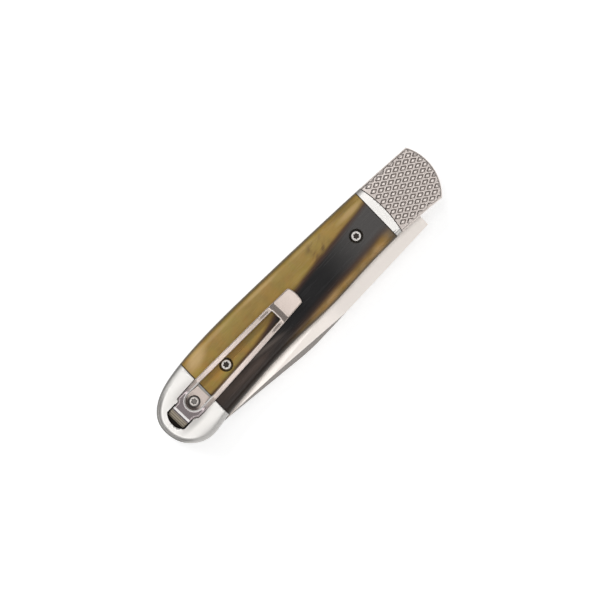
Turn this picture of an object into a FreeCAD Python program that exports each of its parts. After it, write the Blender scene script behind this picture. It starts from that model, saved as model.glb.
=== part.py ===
"""Folding pocket knife with horn scales, metal bolsters and a pocket clip, shut and lying on its far side.

X runs from the butt to the pivot end, Y from the belly to the back and Z from the far side to the clip side.
The origin is on the rest plane, under the middle of the shut outline. All lengths are in millimetres.
The pieces are made about the blade's middle plane and lifted on to the rest plane when they are written.
"""
import FreeCAD
import Part

import math
import os

from FreeCAD import Vector

# Handle outline
HANDLE_LENGTH = 105.0
BACK_CREST = 11.75
BELLY_DEPTH = 9.9
# From the front top round the butt: shares of the length, and of the crest above or the belly depth below
OUTLINE_SHARES = (
    (0.483, 0.881), (0.271, 0.953), (0.006, 0.992), (-0.153, 1.0), (-0.286, 0.960), (-0.366, 0.883),
    (-0.425, 0.762), (-0.471, 0.540), (-0.4955, 0.248), (-0.4995, -0.080), (-0.4905, -0.462),
    (-0.461, -0.835), (-0.4215, -1.0), (-0.366, -0.934), (-0.286, -0.832), (-0.153, -0.722),
    (-0.048, -0.700), (0.059, -0.712), (0.165, -0.643), (0.297, -0.596), (0.459, -0.681),
)
NOSE_SHARES = (0.5, 0.301)

# Stack, from the blade's middle plane outwards
BLADE_THICKNESS = 2.5
WASHER_THICKNESS = 0.15
SIDE_PLAY = 0.02
LINER_THICKNESS = 1.2
SCALE_THICKNESS = 2.8

# Covers
BUTT_LENGTH = 16.25
COLLAR_WIDTH = 2.7
FRONT_BOLSTER_LENGTH = 18.0
SEAM_ARC_RADIUS = 36.0
SEAM_ARC_RISE = 2.1
SEAM_GAP = 0.08
SEAM_CHAMFER = 0.12
EDGE_ROUND = 1.8
BOLSTER_EDGE_ROUND = 0.7
BOLSTER_CORNER_ROUND = 1.2

# Raised diamonds of the front bolster
KNURL_MARGIN = 1.2
KNURL_COLUMN_PITCH = 1.73
KNURL_ROW_PITCH = 1.95
KNURL_ROW_DROP = 0.09
KNURL_ROW_SLANT = 5.57
KNURL_RIM = 0.75
DIAMOND_LENGTH = 2.5
DIAMOND_WIDTH = 1.6
DIAMOND_RISE = 0.35
DIAMOND_TOP_SHARE = 0.35

# Pivot
PIVOT_SETBACK = 12.1
PIVOT_RISE = 0.7
PIVOT_DIAMETER = 4.0
PIVOT_SEAT_DEPTH = 1.6
WASHER_DIAMETER = 11.0
RUNNING_CLEARANCE = 0.03
FIT_CLEARANCE = 0.02

# Blade
TANG_FLAT = 6.8
TANG_CORNER_RADIUS = 8.2
BLADE_WIDTH = 13.85
TIP_SETBACK = 11.4
TIP_COVER = 0.7
HUMP_RISE = 2.45
HUMP_SHARE = 0.584
HUMP_BLEND = 4.0
RICASSO_LENGTH = 0.6
KICK_LENGTH = 3.2
CHOIL_RADIUS = 0.8
# Each pair is a share of the way from heel to tip and a share of the height from tip to heel
EDGE_SHARES = ((0, 1.0), (0.25, 1.0), (0.5, 0.985), (0.68, 0.90), (0.82, 0.70), (0.93, 0.36), (1.0, 0))
EDGE_STEPS = 16
EDGE_THICKNESS = 0.4
EDGE_BEVEL_WIDTH = 0.6
EDGE_TOP_THICKNESS = 0.06
GRIND_HEEL_RISE = 5.3
GRIND_TIP_DROP = 2.7
SWEDGE_START_SHARE = 0.41
SWEDGE_TIP_WIDTH = 0.5
SWEDGE_ANGLE = 27.0
NAIL_NICK_LENGTH = 12.0
NAIL_NICK_HEIGHT = 1.5
NAIL_NICK_DEPTH = 0.55
NAIL_NICK_SETBACK = 42.0
NAIL_NICK_RISE = 2.1

# Backspring
SPRING_GAP = 0.02
SPRING_NOSE_LENGTH = 6.8
SPRING_ARM = 3.0
SPRING_HUB = 4.7
SPRING_WALL = 1.8
CENTRE_PIN_DIAMETER = 2.4
CENTRE_PIN_SHARE = -0.043
REAR_BARREL_DIAMETER = 4.0

# Scale screws
SCREW_HEAD_DIAMETER = 2.95
SCREW_HEAD_HEIGHT = 1.2
SCREW_SHANK_DIAMETER = 2.0
SCREW_SUNK = 0.35
SCREW_POCKET_DIAMETER = 4.0
SOCKET_DIAMETER = 1.6
SOCKET_DEPTH = 0.7
HEAD_ROUND = 0.25
FRONT_SCREW_SETBACK = 28.9
FRONT_SCREW_RISE = 2.2
REAR_SCREW_SETBACK = 25.3
REAR_SCREW_RISE = 1.6
LOBES = 6
LOBE_CORE_SHARE = 0.76
LOBE_PLACE_SHARE = 0.80
LOBE_SIZE_SHARE = 0.20

# Bolster screws, put in from inside the liner
BOLSTER_SCREW_DIAMETER = 1.4
BOLSTER_SCREW_HEAD = 2.4
BOLSTER_SCREW_GRIP = 1.4
BOLSTER_SOCKET_DIAMETER = 0.9
BOLSTER_SOCKET_DEPTH = 0.4
BOLSTER_SCREW_INSET = 5.5
COLLAR_SCREW_INSET = 4.0
BUTT_SCREW_REACH = 6.4

# Pocket clip, laid out from its screw along its own axis
CLIP_TILT = 2.5
CLIP_SHEET = 1.0
CLIP_SCREW_SETBACK = 11.8
CLIP_SCREW_RISE = 0.42
CLIP_RECESS_DEPTH = 0.6
CLIP_RECESS_CLEARANCE = 0.15
CLIP_TAIL_BEND = 5.2
CLIP_TAIL_REACH = 2.1
CLIP_TAIL_CLEARANCE = 0.3
CLIP_TAIL_WIDTH = 6.0
CLIP_SHOULDER_REAR = 3.3
CLIP_SHOULDER_FRONT = 2.3
CLIP_BASE_WIDTH = 7.7
CLIP_ARM_WIDTH = 8.0
CLIP_ARM_START = 5.0
CLIP_RISE_START = 0.2
CLIP_CLEARANCE = 0.9
CLIP_BAR = 33.0
CLIP_BAR_WIDTH = 6.35
CLIP_CREASE = 35.3
CLIP_TOUCH_GAP = 0.05
CLIP_LENGTH = 41.3
CLIP_TAB_WIDTH = 5.6
CLIP_TAB_BULGE = 0.5
CLIP_TAB_LIFT = 1.1
CLIP_TAB_ROUND = 0.9
CLIP_WINDOW_RADIUS = 2.64
CLIP_WINDOW_FRONT = 3.2
CLIP_TONGUE_LENGTH = 3.9
CLIP_TONGUE_THICKNESS = 0.5
CLIP_TIGHT_BEND = 0.8
CLIP_EASY_BEND = 3.0
CLIP_SHOULDER_ROUND = 0.6
CLIP_CHAMFER = 0.22
CLIP_SLOT_WIDTH = 6.8
CLIP_SLOT_SIDE = 2.2
CLIP_SLOT_REACH = 3.7
CLIP_SCREW_DIAMETER = 2.4
CLIP_SCREW_HEAD_DIAMETER = 3.5
CLIP_SCREW_HEAD_HEIGHT = 0.85
CLIP_SCREW_GRIP = 3.0
CLIP_SCREW_HOLE_CLEARANCE = 0.1

# Reach of every cutting tool past what it cuts, and how near two places count as the same
OVERRUN = 5.0
SAME_PLACE = 0.008

# How far a unit normal rises on a wall at most and on an upper face at least
LEVEL_SHARE = 0.1
UPWARD_SHARE = 0.5

# Heights above the blade's middle plane
CHANNEL_FACE = BLADE_THICKNESS / 2 + WASHER_THICKNESS + SIDE_PLAY
LINER_FACE = CHANNEL_FACE + LINER_THICKNESS
COVER_FACE = LINER_FACE + SCALE_THICKNESS

# Places along the handle
FRONT = HANDLE_LENGTH / 2
BUTT = -HANDLE_LENGTH / 2
BUTT_SEAM = BUTT + BUTT_LENGTH
KNURL_SEAM = FRONT - FRONT_BOLSTER_LENGTH
COLLAR_SEAM = KNURL_SEAM - COLLAR_WIDTH
PIVOT = Vector(FRONT - PIVOT_SETBACK, PIVOT_RISE, 0)
CLIP_SCREW = Vector(BUTT + CLIP_SCREW_SETBACK, CLIP_SCREW_RISE, 0)
SCALE_SCREWS = (
    Vector(BUTT + REAR_SCREW_SETBACK, REAR_SCREW_RISE, 0),
    Vector(FRONT - FRONT_SCREW_SETBACK, FRONT_SCREW_RISE, 0),
)
UP = Vector(0, 0, 1)


def outline_point(x_share, y_share):
    """A point of the handle's outline, from its shares of the length and of the crest or the belly depth."""
    height = BACK_CREST if y_share > 0 else BELLY_DEPTH
    return Vector(x_share * HANDLE_LENGTH, y_share * height, 0)


def curve_through(points):
    """One smooth edge through the points."""
    curve = Part.BSplineCurve()
    curve.interpolate(points)
    return curve.toShape()


def handle_edges():
    """The long side edge, from the front top round the butt to the front bottom, and the front end's arc."""
    points = [outline_point(*shares) for shares in OUTLINE_SHARES]
    end = Part.Arc(points[-1], outline_point(*NOSE_SHARES), points[0])
    return curve_through(points), end.toShape()


HANDLE_SIDE, HANDLE_END = handle_edges()


def outline_height(x, way):
    """Height of the outline at x, on the back for way 1 and on the belly for way -1."""
    ray = Part.makeLine(Vector(x, 0, 0), Vector(x, way * HANDLE_LENGTH, 0))
    return HANDLE_SIDE.distToShape(ray)[1][0][0].y


def prism(edges, low, high):
    """The solid over a closed run of edges in the XY plane, from height low to height high."""
    face = Part.Face(Part.Wire(edges))
    return face.translated(Vector(0, 0, low)).extrude(Vector(0, 0, high - low))


def polygon_edges(points):
    """The straight edges of a closed polygon."""
    return [Part.makeLine(a, b) for a, b in zip(points, points[1:] + points[:1])]


def block(x_low, x_high, low, high):
    """A box across the whole handle between two places along it and two heights."""
    wide = HANDLE_LENGTH
    return Part.makeBox(x_high - x_low, 2 * wide, high - low, Vector(x_low, -wide, low))


def rod(place, radius, low, high):
    """A round bar or cutter along Z."""
    return Part.makeCylinder(radius, high - low, Vector(place.x, place.y, low))


def far_side(shape):
    """The far side's twin of a clip side piece."""
    return shape.mirror(Vector(0, 0, 0), UP)


def edges_at(shape, height, keep):
    """The edges of a shape that lie at a height and whose middles pass a test."""
    found = []
    for edge in shape.Edges:
        box = edge.BoundBox
        if abs(box.ZMin - height) < SAME_PLACE and abs(box.ZMax - height) < SAME_PLACE:
            middle = edge.valueAt((edge.FirstParameter + edge.LastParameter) / 2)
            if keep(middle):
                found.append(edge)
    return found


def upright_edges(shape, keep):
    """The straight edges of a shape along Z whose middles pass a test."""
    found = []
    for edge in shape.Edges:
        box = edge.BoundBox
        if box.XLength < SAME_PLACE and box.YLength < SAME_PLACE and keep(edge.CenterOfMass):
            found.append(edge)
    return found


def off_seams(point):
    """Whether a point is on the handle's outline, not on a cut across it."""
    flat = Part.Vertex(point.x, point.y, 0)
    return HANDLE_SIDE.distToShape(flat)[0] < SEAM_GAP


def six_lobe(radius, depth):
    """A six-lobe driver's shape, going down from height zero."""
    centre = Vector(0, 0, 0)
    tool = rod(centre, radius * LOBE_CORE_SHARE, -depth, OVERRUN)
    lobes = []
    for number in range(LOBES):
        turn = math.radians(number * 360 / LOBES)
        place = Vector(math.cos(turn), math.sin(turn), 0) * (radius * LOBE_PLACE_SHARE)
        lobes.append(rod(place, radius * LOBE_SIZE_SHARE, -depth, OVERRUN))
    return tool.fuse(lobes)


def pan_screw(head_diameter, head_height, shank_diameter, length):
    """A screw with a rounded flat head, its head's top at height zero and its shank going down."""
    centre = Vector(0, 0, 0)
    head = rod(centre, head_diameter / 2, -head_height, 0)
    head = head.makeFillet(HEAD_ROUND, edges_at(head, 0, lambda point: True))
    shank = rod(centre, shank_diameter / 2, -length, -head_height)
    return head.fuse(shank).cut(six_lobe(SOCKET_DIAMETER / 2, SOCKET_DEPTH)).removeSplitter()


def bolster_screw():
    """A countersunk screw, its head flush with the liner's inner face and its shank in a bolster."""
    head_radius = BOLSTER_SCREW_HEAD / 2
    radius = BOLSTER_SCREW_DIAMETER / 2
    head = Part.makeCone(head_radius, radius, head_radius - radius, Vector(0, 0, CHANNEL_FACE))
    neck = CHANNEL_FACE + head_radius - radius
    shank = rod(Vector(0, 0, 0), radius, neck, LINER_FACE + BOLSTER_SCREW_GRIP)
    socket = six_lobe(BOLSTER_SOCKET_DIAMETER / 2, BOLSTER_SOCKET_DEPTH)
    socket = socket.mirror(Vector(0, 0, 0), UP).translated(Vector(0, 0, CHANNEL_FACE))
    return head.fuse(shank).cut(socket).removeSplitter()


def bolster_screw_places():
    """Where the hidden screws stand: two each in the front bolster, the collar and the butt bolster."""
    back = BACK_CREST - BOLSTER_SCREW_INSET
    belly = outline_height(FRONT - BOLSTER_SCREW_INSET, -1) + BOLSTER_SCREW_INSET - BOLSTER_SCREW_HEAD
    collar = COLLAR_SEAM + COLLAR_WIDTH / 2
    return (
        Vector(FRONT - BOLSTER_SCREW_INSET, back, 0),
        Vector(FRONT - BOLSTER_SCREW_INSET, belly, 0),
        Vector(collar, outline_height(collar, 1) - COLLAR_SCREW_INSET, 0),
        Vector(collar, outline_height(collar, -1) + COLLAR_SCREW_INSET, 0),
        CLIP_SCREW + Vector(0, BUTT_SCREW_REACH, 0),
        CLIP_SCREW - Vector(0, BUTT_SCREW_REACH, 0),
    )


def bolster_screw_holes():
    """Cutters for the hidden screws, with their clearance."""
    radius = BOLSTER_SCREW_DIAMETER / 2 + FIT_CLEARANCE
    head = BOLSTER_SCREW_HEAD / 2 + FIT_CLEARANCE
    cutters = []
    for place in bolster_screw_places():
        low = place + Vector(0, 0, CHANNEL_FACE)
        cutters.append(Part.makeCone(head, radius, head - radius, low))
        cutters.append(rod(place, radius, CHANNEL_FACE, LINER_FACE + BOLSTER_SCREW_GRIP + FIT_CLEARANCE))
    return cutters


def liner():
    """The clip side liner, a flat plate of the handle's outline with its holes."""
    plate = prism([HANDLE_SIDE, HANDLE_END], CHANNEL_FACE, LINER_FACE)
    bores = [(place, SCREW_SHANK_DIAMETER) for place in SCALE_SCREWS]
    bores.append((PIVOT, PIVOT_DIAMETER))
    bores.append((centre_pin_place(), CENTRE_PIN_DIAMETER))
    bores.append((CLIP_SCREW, REAR_BARREL_DIAMETER))
    cutters = [rod(place, bore / 2 + FIT_CLEARANCE, 0, COVER_FACE) for place, bore in bores]
    return plate.cut(cutters + bolster_screw_holes())


def cover_half():
    """Half the handle's cover, a plate with a rounded outer edge, from which scale and bolsters are cut."""
    plate = prism([HANDLE_SIDE, HANDLE_END], LINER_FACE, COVER_FACE)
    plate = plate.common(block(BUTT - OVERRUN, KNURL_SEAM + OVERRUN, 0, COVER_FACE + OVERRUN))
    return plate.makeFillet(EDGE_ROUND, edges_at(plate, COVER_FACE, off_seams))


def seam_bevel(shape, x):
    """Break the outer edge of a piece along a straight seam."""
    rims = edges_at(shape, COVER_FACE, lambda point: abs(point.x - x) < SEAM_GAP)
    return shape.makeChamfer(SEAM_CHAMFER, rims)


def scale(cover):
    """The clip side scale, with its two sunk screw seats."""
    rear = BUTT_SEAM + SEAM_GAP / 2
    front = COLLAR_SEAM - SEAM_GAP / 2
    slab = cover.common(block(rear, front, 0, COVER_FACE + OVERRUN))
    cutters = []
    for place in SCALE_SCREWS:
        seat = COVER_FACE - SCREW_SUNK - SCREW_HEAD_HEIGHT
        cutters.append(rod(place, SCREW_POCKET_DIAMETER / 2, seat, COVER_FACE + OVERRUN))
        cutters.append(rod(place, SCREW_SHANK_DIAMETER / 2 + FIT_CLEARANCE, 0, COVER_FACE))
    return slab.cut(cutters)


def butt_bolster(cover):
    """The plain butt bolster, as it is on the far side."""
    slab = cover.common(block(BUTT - OVERRUN, BUTT_SEAM - SEAM_GAP / 2, 0, COVER_FACE + OVERRUN))
    return seam_bevel(slab, BUTT_SEAM).cut(bolster_screw_holes())


def seam_cylinder(radius):
    """The round face that parts the collar from the knurled bolster."""
    return rod(Vector(KNURL_SEAM - SEAM_ARC_RADIUS, SEAM_ARC_RISE, 0), radius, 0, COVER_FACE + OVERRUN)


def collar(cover):
    """The smooth band between the scale and the knurled bolster."""
    band = cover.common(block(COLLAR_SEAM + SEAM_GAP / 2, KNURL_SEAM + OVERRUN, 0, COVER_FACE + OVERRUN))
    band = band.common(seam_cylinder(SEAM_ARC_RADIUS - SEAM_GAP / 2))
    return band.cut(bolster_screw_holes())


def diamond():
    """One raised diamond with sloping sides, its top at the cover's face and its foot sunk as deep again."""
    slant = math.tan(math.radians(KNURL_ROW_SLANT))

    def ring(share, height):
        x = DIAMOND_LENGTH / 2 * share
        y = DIAMOND_WIDTH / 2 * share
        front = Vector(x, -x * slant, height)
        rear = Vector(-x, x * slant, height)
        return Part.Wire(polygon_edges([front, Vector(0, y, height), rear, Vector(0, -y, height)]))
    foot = ring(2 - DIAMOND_TOP_SHARE, COVER_FACE - 2 * DIAMOND_RISE)
    top = ring(DIAMOND_TOP_SHARE, COVER_FACE)
    return Part.makeLoft([foot, top], True, True)


def knurl_places():
    """The places of the raised diamonds, in columns half a row apart in turn and rows that slant to the front."""
    columns = int(FRONT_BOLSTER_LENGTH / KNURL_COLUMN_PITCH)
    rows = int(BACK_CREST / KNURL_ROW_PITCH) + 1
    seam_centre = Vector(KNURL_SEAM - SEAM_ARC_RADIUS, SEAM_ARC_RISE, 0)
    places = []
    for column in range(columns + 1):
        along = column * KNURL_COLUMN_PITCH
        x = KNURL_SEAM + KNURL_MARGIN + along
        drop = KNURL_ROW_DROP + along * math.tan(math.radians(KNURL_ROW_SLANT))
        offset = (column % 2) / 2
        for row in range(-rows, rows + 1):
            place = Vector(x, (row + offset) * KNURL_ROW_PITCH - drop, 0)
            spot = Part.Vertex(place)
            inside = Part.Face(Part.Wire([HANDLE_SIDE, HANDLE_END])).isInside(place, FIT_CLEARANCE, False)
            rim = min(HANDLE_SIDE.distToShape(spot)[0], HANDLE_END.distToShape(spot)[0])
            past_seam = place.distanceToPoint(seam_centre) - SEAM_ARC_RADIUS
            if inside and rim > KNURL_RIM and past_seam > KNURL_RIM:
                places.append(place)
    return places


def bolster_plate(face):
    """The front bolster without its diamonds, up to an outer face."""
    plate = prism([HANDLE_SIDE, HANDLE_END], LINER_FACE, face)
    plate = plate.common(block(COLLAR_SEAM, FRONT + OVERRUN, 0, COVER_FACE + OVERRUN))
    plate = plate.makeFillet(BOLSTER_CORNER_ROUND, upright_edges(plate, lambda point: point.x > PIVOT.x))
    seam = COLLAR_SEAM + SEAM_GAP
    plate = plate.makeFillet(BOLSTER_EDGE_ROUND, edges_at(plate, face, lambda point: point.x > seam))
    return plate.cut(seam_cylinder(SEAM_ARC_RADIUS + SEAM_GAP / 2))


def knurled_bolster():
    """The front bolster over the pivot, with a field of raised diamonds and a blind seat for the pivot pin."""
    pattern = diamond()
    field = Part.Compound([pattern.translated(place) for place in knurl_places()])
    field = field.common(bolster_plate(COVER_FACE))
    plate = bolster_plate(COVER_FACE - DIAMOND_RISE).fuse(field.Solids)
    seat = rod(PIVOT, PIVOT_DIAMETER / 2 + FIT_CLEARANCE, LINER_FACE, LINER_FACE + PIVOT_SEAT_DEPTH)
    return plate.cut([seat] + bolster_screw_holes())


def pivot_pin():
    """The plain pin that the blade turns on."""
    reach = LINER_FACE + PIVOT_SEAT_DEPTH
    return rod(PIVOT, PIVOT_DIAMETER / 2, -reach, reach)


def washer():
    """The clip side's thin bearing washer between blade and liner."""
    ring = rod(PIVOT, WASHER_DIAMETER / 2, CHANNEL_FACE - WASHER_THICKNESS, CHANNEL_FACE)
    return ring.cut(rod(PIVOT, PIVOT_DIAMETER / 2 + FIT_CLEARANCE, 0, COVER_FACE))


def blade_points():
    """The blade's main points when shut: heel, tip, hump and the two ends of the square shoulder."""
    spine = PIVOT.y - (outline_height(PIVOT.x, 1) - PIVOT.y)
    tip_x = BUTT + TIP_SETBACK
    hump_x = PIVOT.x - HUMP_SHARE * (PIVOT.x - tip_x)
    heel_x = PIVOT.x - PIVOT_SETBACK - RICASSO_LENGTH
    heel_spine = spine - HUMP_RISE * (PIVOT.x - heel_x) / (PIVOT.x - hump_x)
    return {
        "heel": Vector(heel_x, heel_spine + BLADE_WIDTH, 0),
        "tip": Vector(tip_x, outline_height(tip_x, -1) + TIP_COVER, 0),
        "hump": Vector(hump_x, spine - HUMP_RISE, 0),
        "shoulder": Vector(PIVOT.x, spine, 0),
    }


def cutting_edge(points):
    """The smooth line of the cutting edge, from heel to tip."""
    heel, tip = points["heel"], points["tip"]
    run = tip - heel
    return curve_through([Vector(heel.x + x * run.x, tip.y - y * run.y, 0) for x, y in EDGE_SHARES])


def beside(edge, distance, height):
    """A curve beside the cutting edge, outside it for a distance over zero, at a height."""
    first, last = edge.FirstParameter, edge.LastParameter
    places = []
    for step in range(EDGE_STEPS + 1):
        parameter = first + (last - first) * step / EDGE_STEPS
        outwards = edge.tangentAt(parameter).cross(UP)
        places.append(edge.valueAt(parameter) + outwards * distance + Vector(0, 0, height))
    return curve_through(places)


def blade_outline(points, edge):
    """The closed outline of the shut blade, with the square tang round the pivot."""
    corner = math.sqrt(TANG_CORNER_RADIUS ** 2 - TANG_FLAT ** 2)
    diagonal = TANG_CORNER_RADIUS * math.sqrt(0.5)
    heel, tip, hump, shoulder = points["heel"], points["tip"], points["hump"], points["shoulder"]
    kick = Vector(heel.x + KICK_LENGTH, PIVOT.y + TANG_FLAT, 0)
    hollow = Vector(heel.x, kick.y, 0)
    hollow += Vector(KICK_LENGTH * math.sqrt(0.5), (heel.y - kick.y) * math.sqrt(0.5), 0)
    before = hump + (shoulder - hump).normalize() * HUMP_BLEND
    after = hump + (tip - hump).normalize() * HUMP_BLEND
    blend = Part.BezierCurve()
    blend.setPoles([before, hump, after])
    tang = [
        Vector(0, -TANG_FLAT, 0), Vector(corner, -TANG_FLAT, 0), Vector(TANG_FLAT, -corner, 0),
        Vector(TANG_FLAT, corner, 0), Vector(corner, TANG_FLAT, 0),
    ]
    inner, open_end, half_low, half_high, shut_end = [PIVOT + place for place in tang]
    return [
        Part.makeLine(before, shoulder),
        Part.makeLine(shoulder, inner),
        Part.makeLine(inner, open_end),
        Part.Arc(open_end, PIVOT + Vector(diagonal, -diagonal, 0), half_low).toShape(),
        Part.makeLine(half_low, half_high),
        Part.Arc(half_high, PIVOT + Vector(diagonal, diagonal, 0), shut_end).toShape(),
        Part.makeLine(shut_end, kick),
        Part.Arc(kick, hollow, heel).toShape(),
        edge,
        Part.makeLine(tip, after),
        blend.toShape(),
    ]


def grind_cutters(points, edge):
    """What the clip side's primary grind and the fine bevel along the edge take away."""
    face = BLADE_THICKNESS / 2
    heel, tip = points["heel"], points["tip"]
    line = Part.makeLine(
        Vector(heel.x, heel.y - BLADE_WIDTH + GRIND_HEEL_RISE, face),
        Vector(tip.x - EDGE_BEVEL_WIDTH, tip.y - GRIND_TIP_DROP, face),
    )
    slope = (face - EDGE_THICKNESS / 2) / (BLADE_WIDTH - GRIND_HEEL_RISE)
    fine_slope = (EDGE_THICKNESS - EDGE_TOP_THICKNESS) / 2 / EDGE_BEVEL_WIDTH
    past = EDGE_BEVEL_WIDTH
    primary = Part.makeRuledSurface(line, beside(edge, past, EDGE_THICKNESS / 2 - slope * past))
    fine = Part.makeRuledSurface(
        beside(edge, -EDGE_BEVEL_WIDTH, EDGE_THICKNESS / 2),
        beside(edge, past, EDGE_TOP_THICKNESS / 2 - fine_slope * past),
    )
    return [surface.extrude(Vector(0, 0, OVERRUN)) for surface in (primary, fine)]


def swedge_cutter(points):
    """What the clip side's swedge takes away: all that lies outside a plane sloping down to the spine."""
    tip, hump, shoulder = points["tip"], points["hump"], points["shoulder"]
    start_x = PIVOT.x - SWEDGE_START_SHARE * (PIVOT.x - tip.x)
    along_spine = (PIVOT.x - start_x) / (PIVOT.x - hump.x)
    start = shoulder + (hump - shoulder) * along_spine
    end = tip + Vector(0, SWEDGE_TIP_WIDTH, 0)
    run = (end - start).normalize()
    across = run.cross(UP) * -1
    fall = math.tan(math.radians(SWEDGE_ANGLE))
    reach = OVERRUN
    out = across * reach
    section = [Vector(0, 0, 0), out - UP * (reach * fall), out + UP * reach, UP * reach]
    base = start - run * reach + Vector(0, 0, BLADE_THICKNESS / 2)
    wedge = Part.Face(Part.Wire(polygon_edges([base + place for place in section])))
    return wedge.extrude(run * ((end - start).Length + 2 * reach))


def nail_nick(points):
    """The long nail nick on the far side, cut by a thin round tool along the spine."""
    radius = (NAIL_NICK_LENGTH ** 2 / 4 + NAIL_NICK_DEPTH ** 2) / (2 * NAIL_NICK_DEPTH)
    hump, shoulder = points["hump"], points["shoulder"]
    along = (hump - shoulder).normalize()
    across = Vector(along.y, -along.x, 0)
    centre = shoulder + along * NAIL_NICK_SETBACK + across * NAIL_NICK_RISE
    centre += Vector(0, 0, -BLADE_THICKNESS / 2 + NAIL_NICK_DEPTH - radius)
    return Part.makeCylinder(radius, NAIL_NICK_HEIGHT, centre, across)


def blade():
    """The blade, shut: tang, straight spine with a hump, clip point, swedge, flat grind and fine edge."""
    points = blade_points()
    edge = cutting_edge(points)
    body = prism(blade_outline(points, edge), -BLADE_THICKNESS / 2, BLADE_THICKNESS / 2)
    grinds = grind_cutters(points, edge) + [swedge_cutter(points)]
    tools = grinds + [far_side(tool) for tool in grinds]
    for tool in tools:
        body = body.cut(tool)
    choil = rod(points["heel"], CHOIL_RADIUS, -COVER_FACE, COVER_FACE)
    bore = rod(PIVOT, PIVOT_DIAMETER / 2 + RUNNING_CLEARANCE, -COVER_FACE, COVER_FACE)
    return body.cut([choil, bore, nail_nick(points)])


def centre_pin_place():
    """The middle of the spring's hub, halfway through its depth."""
    x = CENTRE_PIN_SHARE * HANDLE_LENGTH
    return Vector(x, outline_height(x, 1) - SPRING_HUB / 2, 0)


def backspring():
    """The backspring, flush with the handle's back, from its nose over the tang to the butt."""
    hub = centre_pin_place()
    nose_end = PIVOT.x - 2 * SPRING_GAP
    nose_rear = nose_end - SPRING_NOSE_LENGTH
    nose_height = PIVOT.y + TANG_FLAT + SPRING_GAP
    arm_front = nose_rear - SPRING_NOSE_LENGTH
    arm_rear = hub.x + 2 * SPRING_HUB
    rear_x = hub.x - 3 * SPRING_HUB
    floor = CLIP_SCREW.y - REAR_BARREL_DIAMETER / 2 - SPRING_WALL
    inner = [
        Vector(nose_rear, nose_height, 0),
        Vector(arm_front, outline_height(arm_front, 1) - SPRING_ARM, 0),
        Vector(arm_rear, outline_height(arm_rear, 1) - SPRING_ARM, 0),
        Vector(hub.x, hub.y - SPRING_HUB / 2, 0),
        Vector(rear_x, outline_height(rear_x, 1) - SPRING_HUB, 0),
        Vector(CLIP_SCREW.x + REAR_BARREL_DIAMETER + SPRING_WALL, CLIP_SCREW.y, 0),
        Vector(CLIP_SCREW.x, floor, 0),
        Vector(BUTT - OVERRUN, floor, 0),
    ]
    rear_top = Vector(BUTT - OVERRUN, HANDLE_LENGTH, 0)
    front_top = Vector(nose_end, HANDLE_LENGTH, 0)
    nose_tip = Vector(nose_end, nose_height, 0)
    region = [
        curve_through(inner),
        Part.makeLine(inner[-1], rear_top),
        Part.makeLine(rear_top, front_top),
        Part.makeLine(front_top, nose_tip),
        Part.makeLine(nose_tip, inner[0]),
    ]
    spring = prism([HANDLE_SIDE, HANDLE_END], -CHANNEL_FACE, CHANNEL_FACE)
    spring = spring.common(prism(region, -CHANNEL_FACE, CHANNEL_FACE))
    bores = [(hub, CENTRE_PIN_DIAMETER), (CLIP_SCREW, REAR_BARREL_DIAMETER)]
    for place, bore in bores:
        spring = spring.cut(rod(place, bore / 2 + FIT_CLEARANCE, -COVER_FACE, COVER_FACE))
    return spring


def rear_barrel():
    """The threaded pin through liners and spring that takes the clip screw."""
    barrel = rod(CLIP_SCREW, REAR_BARREL_DIAMETER / 2, -LINER_FACE, LINER_FACE)
    bore = CLIP_SCREW_DIAMETER / 2 + FIT_CLEARANCE
    return barrel.cut(rod(CLIP_SCREW, bore, LINER_FACE - CLIP_SCREW_GRIP - FIT_CLEARANCE, COVER_FACE))


def rounded_run(points, radii):
    """Edges along a run of points, with a tangent arc of each radius at the points between its ends."""
    edges = []
    last = points[0]
    for before, corner, after, radius in zip(points, points[1:], points[2:], radii):
        back = (before - corner).normalize()
        on = (after - corner).normalize()
        half = back.getAngle(on) / 2
        tangent = radius / math.tan(half)
        middle = corner + (back + on).normalize() * (radius / math.sin(half) - radius)
        start, end = corner + back * tangent, corner + on * tangent
        edges.append(Part.makeLine(last, start))
        edges.append(Part.Arc(start, middle, end).toShape())
        last = end
    return edges + [Part.makeLine(last, points[-1])]


def beside_run(points, distance):
    """A run of points in the XZ plane moved sideways by a distance, with its corners mitred."""
    normals = [(b - a).normalize().cross(Vector(0, 1, 0)) * -1 for a, b in zip(points, points[1:])]
    moved = [points[0] + normals[0] * distance]
    for point, first, second in zip(points[1:], normals, normals[1:]):
        moved.append(point + (first + second) * (distance / (1 + first.dot(second))))
    return moved + [points[-1] + normals[-1] * distance]


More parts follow.
